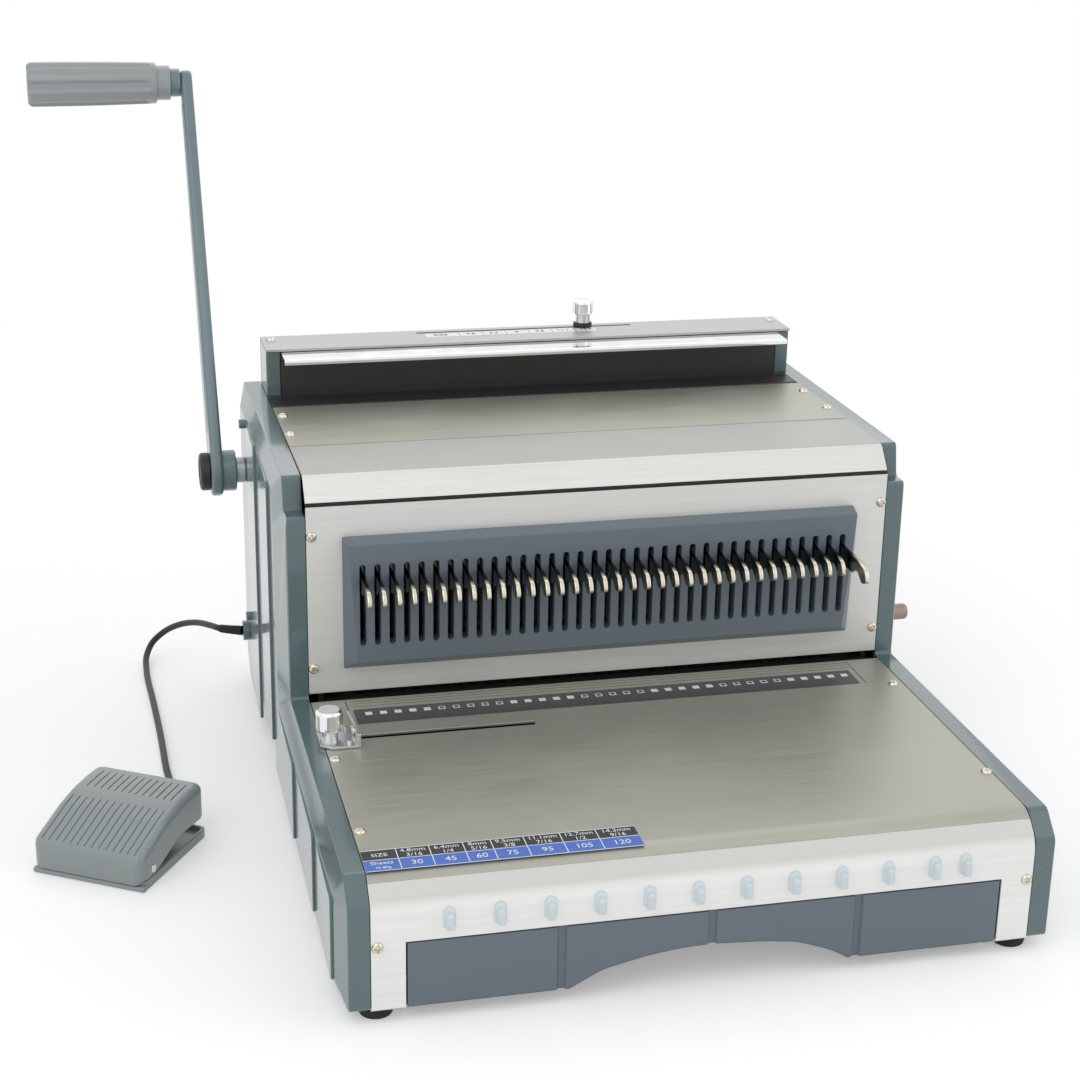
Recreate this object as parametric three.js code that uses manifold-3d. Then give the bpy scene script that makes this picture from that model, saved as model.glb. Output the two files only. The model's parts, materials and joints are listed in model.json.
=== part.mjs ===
// Electric wire binding machine: a counter-top punch and wire closer with a foot pedal.
// Units are millimetres, +Z is up, the operator stands on the -Y side and +X is to the operator's right.
import * as THREE from "three";
import { mergeVertices } from "three/addons/utils/BufferGeometryUtils.js";
import Module from "manifold-3d";

const wasm = await Module();
wasm.setup();

// Shared clearances and overruns
const gap = 0.3;
const overrun = 5;
const round = 2 * Math.PI;
const quarter = 90;

// Comb plate and hooks
const slotCount = 35;
const slotPitch = 25.4 / 3;
const slotWidth = 3.5;
const slotTop = 161.5;
const slotBottom = 112.3;
const combMargin = 5.83;
const combTop = 175.5;
const combBottom = 95;
const combDepth = 10.7;
const combTaper = 1.5;
const combSideTop = 1.3;
const combSideBottom = 6.6;
const hookThick = 2.5;
const hookReach = 37.5;
const hookTop = 155;
const hookHeight = 12;
const longHookExtra = 15;
const combHalf = (slotCount * slotPitch) / 2 + combMargin;

// Sheet metal body, measured from the front face of the front panel
const sheetMargin = 20.25;
const sheetThick = 1.5;
const plateThick = 3;
const flangeWidth = 7.6;
const flangeMargin = 0.65;
const tableTop = 77.4;
const tableDepth = 225.7;
const tableChamfer = 12.7;
const tableBackEdge = 5.3;
const panelBottom = 80.3;
const panelTop = 193.9;
const coverTop = 208;
const flapBack = 12.6;
const flapBottom = 195.8;
const flapDepth = 1.1;
const coverBack = 160;
const footHeight = 5;
const baseThick = 2;
const bodyBack = 228;
const skirtBottom = 8;
const sheetHalf = combHalf + sheetMargin;
const plateInner = sheetHalf - flangeMargin - flangeWidth;

// Side covers
const coverWall = 2.5;
const coverFlat = 11;
const coverBevel = 4.2;
const upperBevelFront = 33;
const upperBevelTop = 13;
const lowerBevelFront = 18.7;
const lowerBevelTop = 15.4;
const bevelBack = 13;
const postRadius = 3;
const postLength = 4;

// Hook carriage and its racks
const carriageFront = 20;
const carriageDepth = 10;
const carriageBottom = 140;
const carriageHeight = 18;
const rackInset = 8;
const rackWidth = 6;
const rackBottom = 155;
const rackHeight = 39;
const gearModule = 1.5;
const pinionTeeth = 20;
const pinionShaftY = 45;
const pinionShaftZ = 160;
const pinionShaftRadius = 5;

// Lever, its shaft, cams and cranks
const leverY = 192;
const leverZ = 157.8;
const leverShaftRadius = 6;
const leverTilt = 30.6;
const leverTravel = 110;
const armLength = 267.5;
const armThick = 7.7;
const armWidthFoot = 20;
const armWidthHead = 16;
const hubLength = 8.65;
const collarRadius = 8.2;
const collarLength = 5.7;
const hubRadius = 13.2;
const capRadius = 12.2;
const capLength = 6.3;
const camInset = 26;
const camWidth = 8;
const camLow = 11;
const camRise = 17;
const crankRadius = 20;
const crankThick = 3;
const crankPinRadius = 3;
const crankClear = 0.5;
const rodThick = 2.5;
const rodHalfWidth = 6;
const gripLength = 83.9;
const gripRadiusRoot = 13.8;
const gripRadiusEnd = 14.85;
const gripNeckRadius = 11.35;
const gripNeckLength = 9.1;
const gripBossRadius = 9.2;
const gripBossLength = 6.5;
const gripGrooves = 6;
const gripGrooveRadius = 2.8;
const gripPinRadius = 4;

// Wire closer
const bedTop = 207.5;
const bedThick = 3.5;
const bedFront = 162.4;
const wallFront = 184;
const wallThick = 2;
const capWidth = 9;
const capDepth = 33.2;
const closerTop = 239.1;
const lipFront = 160.5;
const lipThick = 2;
const lipFold = 1.5;
const sizeSlotLeft = 73.5;
const sizeSlotRight = 72;
const sizeSlotWidth = 3;
const sizeSlotY = 210.5;
const sizeKnobX = 38.8;
const sizeKnobRadius = 6.95;
const sizeKnobHeight = 18;
const sizeStudRadius = 1.1;
const sliderLength = 46;
const sliderDepth = 12;
const sliderHeight = 8;

// Table slot and edge guide
const guideSlotY = 57.2;
const guideSlotWidth = 5;
const guideSlotInset = 2.25;
const guideSlotRight = 53.5;
const guideInset = 2.75;
const guideLeft = 5.5;
const guideRight = 16.5;
const guideBack = 12.2;
const guideFront = 14.8;
const guideScrewRadius = 1.5;
const guideStopHeight = 8.5;
const guideKnobRadius = 7.6;
const guideKnobHeight = 12.4;
const guideKnobLift = 4;

// Pegs on the table's front face
const pegPitch = 25.4;
const pegCount = 12;
const pegWidth = 5.2;
const pegBottom = 51.5;
const pegHeight = 9.6;
const pegProud = 5.5;
const pegBaseProud = 3;

// Chip drawer
const drawerInset = 17.55;
const drawerTop = 44.2;
const drawerFrontThick = 3.5;
const drawerGrooveWidth = 4;
const drawerGrooveDepth = 1.5;
const archHalf = 74;
const archRise = 16.8;
const trayInset = 4.7;
const trayLength = 252;
const trayPocket = 60;
const trayHeight = 32;
const trayWall = 2;

// Punch
const punchSize = 4;
const punchY = 8;
const punchTip = 81;
const punchBarBottom = 99;
const punchBarHeight = 11.4;
const punchBarDepth = 9;
const punchStroke = 12;
const punchHoleClear = 0.4;
const stripperThick = 6;
const throatHeight = 4.4;
const dieThick = 14;
const dieDepth = 40;
const camShaftY = 80;
const camShaftZ = 120.5;
const camShaftRadius = 6;
const eccentricRadius = 14;
const eccentricCentre = 100;
const eccentricWidth = 7;
const yokeWidth = 8;
const yokeWall = 5;
const yokeClear = 1.5;
const driveTeeth = 45;
const motorTeeth = 11;
const gearWidth = 8;
const motorAngle = -15;
const motorRadius = 25;
const motorLength = 80;
const gearboxLength = 38;
const motorShaftRadius = 3;

// Depth stop and its dial
const dialY = 33;
const dialZ = 91;
const dialRadius = 5;
const dialProud = 18;
const dialThrow = 2.5;
const dialPinRadius = 3;
const stopDepth = 4;
const stopSetback = 14;

// Electrical parts
const boardX = -95;
const boardY = 130;
const boardWidth = 110;
const boardDepth = 70;
const boardHeight = 46;
const inletX = 110;
const inletZ = 45;
const inletWidth = 28;
const inletHeight = 22;
const switchX = 70;
const switchWidth = 14;
const cordRadius = 2.15;
const cordExitY = 200;
const cordExitZ = 42.5;

// Foot pedal
const pedalX = -335.1;
const pedalY = -33.8;
const pedalTurn = -32.33;
const pedalWidth = 69.4;
const pedalLength = 75;
const pedalBaseThick = 2.5;
const pedalWall = 2;
const pedalPinS = 12;
const pedalPinZ = 10;
const pedalPinRadius = 2;
const pedalRise = 34.5;

// Values that several pieces share
const coverInner = sheetHalf + gap;
const coverFlatEnd = coverInner + coverFlat;
const coverOuter = coverFlatEnd + coverBevel;
const plateOuter = plateInner + plateThick;
const rackCentre = plateInner - rackInset;
const camCentre = plateInner - camInset;
const drawerHalf = sheetHalf - drawerInset;
const trayHalf = drawerHalf - trayInset;
const guideX = sheetHalf - guideInset;
const spanHalf = plateInner - gap;
const baseTop = footHeight + baseThick;
const tableUnder = tableTop - sheetThick;
const bedUnder = bedTop - bedThick;
const plateTop = bedUnder - 2 * gap;
const rearTop = bedTop - gap;
const closerUnder = closerTop - sheetThick;
const lipTop = closerUnder - gap;
const firstSlotX = (-(slotCount - 1) * slotPitch) / 2;
const slotPlaces = Array.from({ length: slotCount }, (_, i) => firstSlotX + i * slotPitch);
const pinionRadius = (gearModule * pinionTeeth) / 2;
const driveModule = gearModule * 4 / 3;
const crankX = plateOuter + 2 * gap;
const rodX = crankX + crankThick + gap;
const runClear = gap;

// Materials, coloured as photographed
const paint = (color, roughness, metalness) => new THREE.MeshStandardMaterial({ color, roughness, metalness });
const silver = paint(0xb9bab5, 0.42, 0.75);
const steel = paint(0x9a9c9c, 0.4, 0.85);
const chrome = paint(0xd8dadb, 0.12, 1);
const slateGreen = paint(0x566a6e, 0.5, 0);
const slate = paint(0x66707a, 0.5, 0);
const blackMetal = paint(0x232323, 0.45, 0.3);
const blackPlastic = paint(0x1c1c1c, 0.5, 0);
const rubber = paint(0x151515, 0.85, 0);
const paleBlue = paint(0xc5d5dc, 0.35, 0);
const gripGrey = paint(0xb9bcbc, 0.5, 0);
const pedalGrey = paint(0x8e9696, 0.55, 0);
const boardGreen = paint(0x1d5a33, 0.5, 0);
const zinc = paint(0xc4c2bb, 0.35, 0.9);

const machine = new THREE.Group();
const pedal = new THREE.Group();
pedal.position.set(pedalX, pedalY, 0);
pedal.rotation.z = THREE.MathUtils.degToRad(pedalTurn);
machine.add(pedal);

// Closed geometry to solid and back
const mergeStep = 1e-3;

function solid(geometry) {
  const loose = geometry.index ? geometry.toNonIndexed() : geometry;
  const bare = new THREE.BufferGeometry();
  bare.setAttribute("position", loose.getAttribute("position"));
  const merged = mergeVertices(bare, mergeStep);
  const mesh = new wasm.Mesh({
    numProp: 3,
    vertProperties: new Float32Array(merged.getAttribute("position").array),
    triVerts: new Uint32Array(merged.index.array),
  });
  return new wasm.Manifold(mesh);
}

function put(name, body, material, parent = machine) {
  const mesh = body.getMesh();
  const geometry = new THREE.BufferGeometry();
  geometry.setAttribute("position", new THREE.BufferAttribute(new Float32Array(mesh.vertProperties), 3));
  geometry.setIndex(new THREE.BufferAttribute(new Uint32Array(mesh.triVerts), 1));
  const node = new THREE.Mesh(geometry, material);
  node.name = name;
  parent.add(node);
}

const join = (first, ...rest) => rest.reduce((whole, piece) => whole.add(piece), first);
const cut = (first, ...rest) => rest.reduce((whole, piece) => whole.subtract(piece), first);

// Basic shapes: a box by its limits, a round bar along an axis, a slab of an outline along an axis
function box([x0, x1], [y0, y1], [z0, z1]) {
  const geometry = new THREE.BoxGeometry(x1 - x0, y1 - y0, z1 - z0);
  return solid(geometry.translate((x0 + x1) / 2, (y0 + y1) / 2, (z0 + z1) / 2));
}

const planes = {
  x: (u, v, w) => new THREE.Vector3(w, u, v),
  y: (u, v, w) => new THREE.Vector3(u, w, v),
  z: (u, v, w) => new THREE.Vector3(u, v, w),
};

// An outline is a list of [u, v]: y and z across the x axis, x and z across y, x and y across z.
function loft(axis, sections) {
  const vectors = (outline) => outline.map(([u, v]) => new THREE.Vector2(u, v));
  const clockwise = THREE.ShapeUtils.area(vectors(sections[0].outline)) < 0;
  const rings = sections.map(({ outline }) => vectors(clockwise ? [...outline].reverse() : outline));
  const count = rings[0].length;
  const corner = (s, i) => planes[axis](rings[s][i % count].x, rings[s][i % count].y, sections[s].at);
  const flat = [];
  const face = (a, b, c) => {
    const order = axis === "y" ? [a, c, b] : [a, b, c];
    flat.push(...order.flatMap((point) => point.toArray()));
  };
  const cap = (s, up) => {
    THREE.ShapeUtils.triangulateShape(rings[s], []).forEach((corners) => {
      const counterClockwise = THREE.ShapeUtils.area(corners.map((i) => rings[s][i])) > 0;
      const [a, b, c] = corners.map((i) => corner(s, i));
      face(a, ...(counterClockwise === up ? [b, c] : [c, b]));
    });
  };
  cap(0, false);
  cap(rings.length - 1, true);
  for (let s = 1; s < rings.length; s += 1) {
    for (let i = 0; i < count; i += 1) {
      face(corner(s - 1, i), corner(s - 1, i + 1), corner(s, i + 1));
      face(corner(s - 1, i), corner(s, i + 1), corner(s, i));
    }
  }
  const geometry = new THREE.BufferGeometry();
  geometry.setAttribute("position", new THREE.Float32BufferAttribute(flat, 3));
  return solid(geometry);
}

const slab = (axis, [from, to], outline) =>
  loft(axis, [
    { at: from, outline },
    { at: to, outline },
  ]);

function arc([u, v], radius, from, to, steps) {
  return Array.from({ length: steps + 1 }, (_, i) => {
    const angle = THREE.MathUtils.degToRad(from + ((to - from) * i) / steps);
    return [u + radius * Math.cos(angle), v + radius * Math.sin(angle)];
  });
}

const circle = (centre, radius, sides) => arc(centre, radius, 0, 360, sides).slice(0, sides);
const bar = (axis, span, centre, radius, sides = 16) => slab(axis, span, circle(centre, radius, sides));

// A capsule outline between two centres, with its own radius at each end.
function capsule([u0, v0], r0, [u1, v1], r1, steps = 6) {
  const along = THREE.MathUtils.radToDeg(Math.atan2(v1 - v0, u1 - u0));
  return [
    ...arc([u0, v0], r0, along + quarter, along + 3 * quarter, steps),
    ...arc([u1, v1], r1, along - quarter, along + quarter, steps),
  ];
}

// A profile of [radius, height] turned about +Z.
function turned(profile, sides = 24) {
  const points = profile.map(([r, h]) => new THREE.Vector2(r, h));
  return solid(new THREE.LatheGeometry(points, sides).rotateX(Math.PI / 2));
}

// Moves an outline's edges inwards by a distance; the outline runs counter-clockwise or clockwise.
function inset(outline, distance) {
  const points = outline.map(([u, v]) => new THREE.Vector2(u, v));
  const side = THREE.ShapeUtils.area(points) > 0 ? 1 : -1;
  return points.map((here, i) => {
    const last = points[(i + points.length - 1) % points.length];
    const next = points[(i + 1) % points.length];
    const into = here.clone().sub(last).normalize();
    const out = next.clone().sub(here).normalize();
    const normal = new THREE.Vector2(-into.y - out.y, into.x + out.x).normalize();
    const reach = distance / Math.max(0.3, normal.dot(new THREE.Vector2(-into.y, into.x)));
    return [here.x + side * normal.x * reach, here.y + side * normal.y * reach];
  });
}

// Toothed outlines
const pressureAngle = THREE.MathUtils.degToRad(20);
const backlashShare = 0.1;

function gearOutline([u, v], module, teeth, toothAngle) {
  const pitchRadius = (module * teeth) / 2;
  const baseRadius = pitchRadius * Math.cos(pressureAngle);
  const involute = (angle) => Math.tan(angle) - angle;
  const halfAngle = (radius) => {
    const at = Math.max(radius, baseRadius);
    const swing = involute(pressureAngle) - involute(Math.acos(baseRadius / at));
    return (Math.PI / (2 * teeth)) * (1 - backlashShare) + swing;
  };
  const flank = [pitchRadius - 1.25 * module, pitchRadius, pitchRadius + module];
  const outline = [];
  for (let i = 0; i < teeth; i += 1) {
    const centre = toothAngle + (round * i) / teeth;
    const place = (radius, turn) => {
      const angle = centre + turn;
      return [u + radius * Math.cos(angle), v + radius * Math.sin(angle)];
    };
    flank.forEach((radius) => outline.push(place(radius, -halfAngle(radius))));
    [...flank].reverse().forEach((radius) => outline.push(place(radius, halfAngle(radius))));
  }
  return outline;
}

const mirror = (body) => {
  const mesh = body.getMesh();
  const points = Float32Array.from(mesh.vertProperties, (value, i) => (i % 3 === 0 ? -value : value));
  const faces = Uint32Array.from(mesh.triVerts);
  for (let i = 0; i < faces.length; i += 3) [faces[i + 1], faces[i + 2]] = [faces[i + 2], faces[i + 1]];
  return new wasm.Manifold(new wasm.Mesh({ numProp: 3, vertProperties: points, triVerts: faces }));
};
const sides = [
  ["left", -1],
  ["right", 1],
];
const onSide = (side, body) => (side < 0 ? mirror(body) : body);

// Base plate with a notch under the drawer's finger pocket and the standoffs of the control board
const baseFront = -(tableDepth - drawerFrontThick - 3 * gap);
const boardPosts = [-1, 1].flatMap((u) =>
  [-1, 1].map((v) => [boardX + u * (boardWidth / 2 - overrun), boardY + v * (boardDepth / 2 - overrun)]),
);
const trayFront = -(tableDepth - drawerFrontThick);
put(
  "base_plate",
  join(
    cut(
      box([-sheetHalf, sheetHalf], [baseFront, bodyBack - sheetThick - gap], [footHeight, baseTop]),
      box([-trayHalf, trayHalf], [baseFront - overrun, trayFront + trayPocket], [0, baseTop + overrun]),
    ),
    ...boardPosts.map((place) => bar("z", [baseTop - gap, boardHeight - gap], place, postRadius, 8)),
  ),
  steel,
);

// Feet under the four corners
const footRadius = 9;
const footInset = 22;
const footFrontInset = 14;
const footPlaces = [
  ["front", sheetHalf - footRadius + overrun, -(tableDepth - footFrontInset + 4 * gap)],
  ["rear", sheetHalf - footRadius, bodyBack - footInset],
];
footPlaces.forEach(([end, reach, y]) => {
  sides.forEach(([side, sign]) => {
    const x = sign * reach;
    put(`foot_${end}_${side}`, bar("z", [0, footHeight - gap], [x, y], footRadius, 20), rubber);
  });
});

// Side frame plates with flanges for the sheets, guide ribs for the hook carriage and shaft holes
const plateBack = bodyBack - sheetThick - 2 * plateThick;
const panelBackFace = sheetThick + gap;
const frontFlangeY = -(tableDepth - sheetThick - gap);
const plateOutline = [
  [frontFlangeY, baseTop + gap],
  [plateBack, baseTop + gap],
  [plateBack, plateTop],
  [flapBack + 2 * plateThick, plateTop],
  [panelBackFace, flapBottom - 2 * plateThick],
  [panelBackFace, tableUnder - gap],
  [-(tableDepth - tableChamfer - plateThick), tableUnder - gap],
  [frontFlangeY, tableTop - tableChamfer - 2 * plateThick],
];
const flangeSpan = [plateInner, plateInner + flangeWidth];
const pinionCentre = [pinionShaftY, pinionShaftZ];
const leverCentre = [leverY, leverZ];
const camShaftCentre = [camShaftY, camShaftZ];
const dialCentre = [dialY, dialZ];
const shaftHole = (centre, radius) => bar("x", [plateInner - overrun, plateOuter + overrun], centre, radius);
const guideSpan = [carriageFront - gap, carriageFront + carriageDepth + gap];
const bushOuter = leverShaftRadius + plateThick;
const ribHeight = [dialZ + 2 * dialRadius + plateThick, carriageBottom + carriageHeight];
const guideNotch = box(
  [plateInner - overrun, plateInner + flangeWidth + overrun],
  [-(guideSlotY + 3 * guideSlotWidth), -(guideSlotY - 3 * guideSlotWidth)],
  [tableUnder - 2 * guideSlotWidth, tableUnder + overrun],
);
const rightPlate = cut(
  join(
    slab("x", [plateInner, plateOuter], plateOutline),
    box(
      flangeSpan,
      [tableChamfer, coverBack - tableChamfer],
      [plateTop - plateThick, coverTop - sheetThick - gap],
    ),
    box(
      flangeSpan,
      [panelBackFace, panelBackFace + plateThick],
      [panelBottom + plateThick, flapBottom - 3 * plateThick],
    ),
    box(
      flangeSpan,
      [-(tableDepth - 2 * tableChamfer), -tableChamfer],
      [tableUnder - gap - plateThick, tableUnder - gap],
    ),
    box(
      flangeSpan,
      [frontFlangeY, frontFlangeY + plateThick],
      [baseTop + overrun, tableTop - 2 * tableChamfer],
    ),
    box([spanHalf - plateThick, plateInner + gap], [guideSpan[0] - plateThick, guideSpan[0]], ribHeight),
    box([spanHalf - plateThick, plateInner + gap], [guideSpan[1], guideSpan[1] + plateThick], ribHeight),
  ),
  shaftHole(leverCentre, bushOuter + gap),
  shaftHole(pinionCentre, pinionShaftRadius + runClear),
  shaftHole(camShaftCentre, camShaftRadius + runClear),
);
put("right_frame_plate", cut(rightPlate, shaftHole(dialCentre, dialRadius + runClear)), steel);
put("left_frame_plate", mirror(cut(rightPlate, guideNotch)), steel);

// Table panel: one folded sheet, with the drawer opening, guide slot and peg holes
const tableOutline = (depth) => [
  [-tableBackEdge, tableTop - depth],
  [-(tableDepth - tableChamfer - depth * 0.4), tableTop - depth],
  [-(tableDepth - depth), tableTop - tableChamfer - depth * 0.4],
  [-(tableDepth - depth), skirtBottom],
];
const sheetOutline = (outline) => [...outline(0), ...outline(sheetThick).reverse()];
const pegRowHalf = ((pegCount - 2) * pegPitch) / 2;
const pegPlaces = Array.from({ length: pegCount }, (_, k) =>
  k < pegCount - 1 ? k * pegPitch - pegRowHalf - slotPitch : pegRowHalf + slotPitch,
);
put(
  "table_panel",
  cut(
    slab("x", [-sheetHalf, sheetHalf], sheetOutline(tableOutline)),
    box(
      [-(drawerHalf + gap), drawerHalf + gap],
      [-(tableDepth + overrun), -(tableDepth - overrun)],
      [0, drawerTop + gap],
    ),
    box(
      [-(sheetHalf - guideSlotInset + 2 * gap), -guideSlotRight],
      [-(guideSlotY + guideSlotWidth / 2), -(guideSlotY - guideSlotWidth / 2)],
      [tableUnder - overrun, tableTop + overrun],
    ),
    ...pegPlaces.map((x) =>
      box(
        [x - pegWidth / 2 - gap, x + pegWidth / 2 + gap],
        [-(tableDepth + overrun), -(tableDepth - overrun)],
        [pegBottom - gap, pegBottom + pegHeight + gap],
      ),
    ),
  ),
  silver,
);

// Row of locating pegs on a strip behind the table's front face
const pegOutline = (x, width, height) => [
  [x + width / 2, pegBottom],
  ...arc([x, pegBottom + height - width / 2], width / 2, 0, 180, 5),
  [x - width / 2, pegBottom],
];
const stripSpan = [-(tableDepth - sheetThick - gap), -(tableDepth - sheetThick - gap - baseThick)];
put(
  "peg_strip",
  join(
    box(
      [pegPlaces[0] - pegWidth, pegPlaces[pegCount - 1] + pegWidth],
      stripSpan,
      [pegBottom - baseThick, pegBottom + pegHeight],
    ),
    ...pegPlaces.flatMap((x) => [
      slab("y", [-(tableDepth + pegBaseProud), stripSpan[1]], pegOutline(x, pegWidth, pegHeight)),
      slab("y", [-(tableDepth + pegProud), stripSpan[1]], pegOutline(x, pegWidth * 0.8, pegHeight * 0.875)),
    ]),
  ),
  paleBlue,
);

// Front panel with the window that the hooks pass through
put(
  "front_panel",
  cut(
    box([-sheetHalf, sheetHalf], [0, sheetThick], [panelBottom, panelTop]),
    box(
      [firstSlotX - slotPitch / 2, slotPitch / 2 - firstSlotX],
      [-overrun, overrun],
      [slotBottom - slotWidth, slotTop + slotWidth],
    ),
  ),
  silver,
);

// Comb plate with its row of slots
const slotOutline = (x) => [
  ...arc([x, slotTop - slotWidth / 2], slotWidth / 2, 0, 180, 3),
  ...arc([x, slotBottom + slotWidth / 2], slotWidth / 2, 180, 360, 3),
];
const combSections = [
  {
    at: -combDepth,
    outline: [
      [-(combHalf - combSideBottom), combBottom],
      [combHalf - combSideBottom, combBottom],
      [combHalf - combSideTop, combTop - combTaper],
      [-(combHalf - combSideTop), combTop - combTaper],
    ],
  },
  {
    at: -gap,
    outline: [
      [-combHalf, combBottom],
      [combHalf, combBottom],
      [combHalf, combTop],
      [-combHalf, combTop],
    ],
  },
];
put(
  "comb_plate",
  cut(
    loft("y", combSections),
    ...slotPlaces.map((x) => slab("y", [-(combDepth + overrun), overrun], slotOutline(x))),
  ),
  slate,
);

// Upper cover: slanted flap, top and a short fold at the back
const coverOutline = (depth) => [
  [flapDepth + depth * 0.8, flapBottom - depth * 0.6],
  [flapBack + depth * 0.4, coverTop + sheetThick - depth],
  [coverBack - depth, coverTop - gap - depth],
  [coverBack - depth, bedUnder - gap / 2],
];
put("upper_cover", slab("x", [-sheetHalf, sheetHalf], sheetOutline(coverOutline)), silver);

// Rear cover: a top ledge behind the wire closer and the back wall, with openings for the inlet and the switch
const rearOutline = (depth) => [
  [wallFront + wallThick + gap, rearTop - depth],
  [bodyBack - depth, rearTop - depth],
  [bodyBack - depth, skirtBottom],
];
const inletHole = (x, width) =>
  box(
    [x - width / 2 - gap, x + width / 2 + gap],
    [bodyBack - overrun, bodyBack + overrun],
    [inletZ - inletHeight / 2 - gap, inletZ + inletHeight / 2 + gap],
  );
put(
  "rear_cover",
  cut(
    slab("x", [-sheetHalf, sheetHalf], sheetOutline(rearOutline)),
    inletHole(inletX, inletWidth),
    inletHole(switchX, switchWidth),
  ),
  silver,
);

// Side covers: moulded shells with a bevelled rim
const coverFrontTop = [0, panelTop - overrun - gap];
const sideOutline = [
  [-tableDepth, skirtBottom],
  [-tableDepth, tableTop - tableChamfer],
  [-(tableDepth - tableChamfer), tableTop],
  [0, tableTop],
  [0, coverFrontTop[1]],
  [flapBack, coverFrontTop[1]],
  [flapBack + sheetThick * 2.5, coverTop],
  [bodyBack, rearTop],
  [bodyBack, 2 * skirtBottom],
  [bodyBack - 2.5 * skirtBottom, plateThick],
  [coverBack, plateThick],
  [coverBack / 2 + upperBevelFront, tableChamfer + skirtBottom],
  [coverBack / 3, tableChamfer + skirtBottom],
  [coverBack / 3, footHeight],
  [-(tableDepth - 2 * skirtBottom), footHeight + gap],
];
const bevelOutline = [
  [-(tableDepth - lowerBevelFront), 2 * skirtBottom],
  [-(tableDepth - lowerBevelFront), tableTop - lowerBevelTop - tableChamfer / 2],
  [-(tableDepth - lowerBevelFront - tableChamfer / 2), tableTop - lowerBevelTop],
  [upperBevelFront - overrun, tableTop - lowerBevelTop],
  [upperBevelFront, tableTop],
  [upperBevelFront, coverFrontTop[1] - upperBevelTop],
  [upperBevelFront + sheetThick * 2.5, coverTop - upperBevelTop],
  [bodyBack - bevelBack, coverTop - upperBevelTop],
  [bodyBack - bevelBack, 2 * skirtBottom + bevelBack / 2],
  [bodyBack - bevelBack - 2 * skirtBottom, plateThick + bevelBack / 2],
  [coverBack + bevelBack / 2, plateThick + bevelBack / 2],
  [coverBack / 2 + upperBevelFront + bevelBack / 2, tableChamfer + skirtBottom + bevelBack / 2],
  [coverBack / 3 - bevelBack / 2, tableChamfer + skirtBottom + bevelBack / 2],
  [coverBack / 3 - bevelBack / 2, footHeight + bevelBack / 2],
  [-(tableDepth - lowerBevelFront - skirtBottom), footHeight + bevelBack / 2],
];
const bossRadius = 4;
const bossPlaces = [
  [-coverBack, inletZ],
  [leverY, coverBack / 3],
  [coverBack * 0.75, panelTop - 2 * bossRadius],
];
const postPlaces = [
  [leverY - 2 * bossRadius, panelTop - postRadius],
  [coverBack * 1.1, tableTop - lowerBevelTop],
];
const shellMiddle = coverOuter - coverWall / 2;
const rightShell = join(
  cut(
    loft("x", [
      { at: coverInner, outline: sideOutline },
      { at: coverFlatEnd, outline: sideOutline },
      { at: coverOuter, outline: bevelOutline },
    ]),
    loft("x", [
      { at: coverInner - overrun, outline: inset(sideOutline, coverWall) },
      { at: coverFlatEnd - coverWall, outline: inset(sideOutline, coverWall) },
      { at: coverOuter - coverWall, outline: inset(bevelOutline, coverWall) },
    ]),
  ),
  ...bossPlaces.map((place) => bar("x", [plateOuter + gap, shellMiddle], place, bossRadius, 10)),
  ...postPlaces.map((place) => bar("x", [shellMiddle, coverOuter + postLength], place, postRadius, 10)),
);
const coverHole = (centre, radius) => bar("x", [coverInner - overrun, coverOuter + overrun], centre, radius);
put("right_side_cover", cut(rightShell, coverHole(dialCentre, dialRadius + gap)), slateGreen);
put(
  "left_side_cover",
  mirror(
    cut(
      rightShell,
      coverHole(leverCentre, leverShaftRadius + gap),
      coverHole([cordExitY, cordExitZ], cordRadius + plateThick + gap),
    ),
  ),
  slateGreen,
);

// Wire closer: end caps, back wall, chrome lip and slotted top plate
const capSpan = [plateInner, plateInner + capWidth];
const capDepths = [wallFront, wallFront + capDepth];
const capBase = rearTop + gap;
sides.forEach(([side, sign]) => {
  put(`closer_end_cap_${side}`, onSide(sign, box(capSpan, capDepths, [capBase, lipTop])), slateGreen);
});
const wallHeights = [rearTop - 3 * plateThick, lipTop - lipThick - gap];
const wallDepths = [wallFront, wallFront + wallThick];
put("closer_back_wall", box([-spanHalf, spanHalf], wallDepths, wallHeights), blackMetal);
const lipBack = wallFront + capDepth / 2;
put(
  "closer_lip",
  join(
    box([-spanHalf, spanHalf], [lipFront, lipBack], [lipTop - lipThick, lipTop]),
    box([-spanHalf, spanHalf], [lipFront, lipFront + lipFold], [lipTop - lipThick - lipFold, lipTop]),
  ),
  chrome,
);
const topBack = wallFront + capDepth + gap + sheetThick;
put(
  "closer_top_plate",
  cut(
    join(
      box([-capSpan[1], capSpan[1]], [wallFront - lipThick, topBack], [closerUnder, closerTop]),
      box([-capSpan[1], capSpan[1]], [topBack - sheetThick, topBack], [capBase, closerTop]),
    ),
    box(
      [-sizeSlotLeft, sizeSlotRight],
      [sizeSlotY - sizeSlotWidth / 2, sizeSlotY + sizeSlotWidth / 2],
      [closerUnder - overrun, closerTop + overrun],
    ),
  ),
  silver,
);

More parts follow.
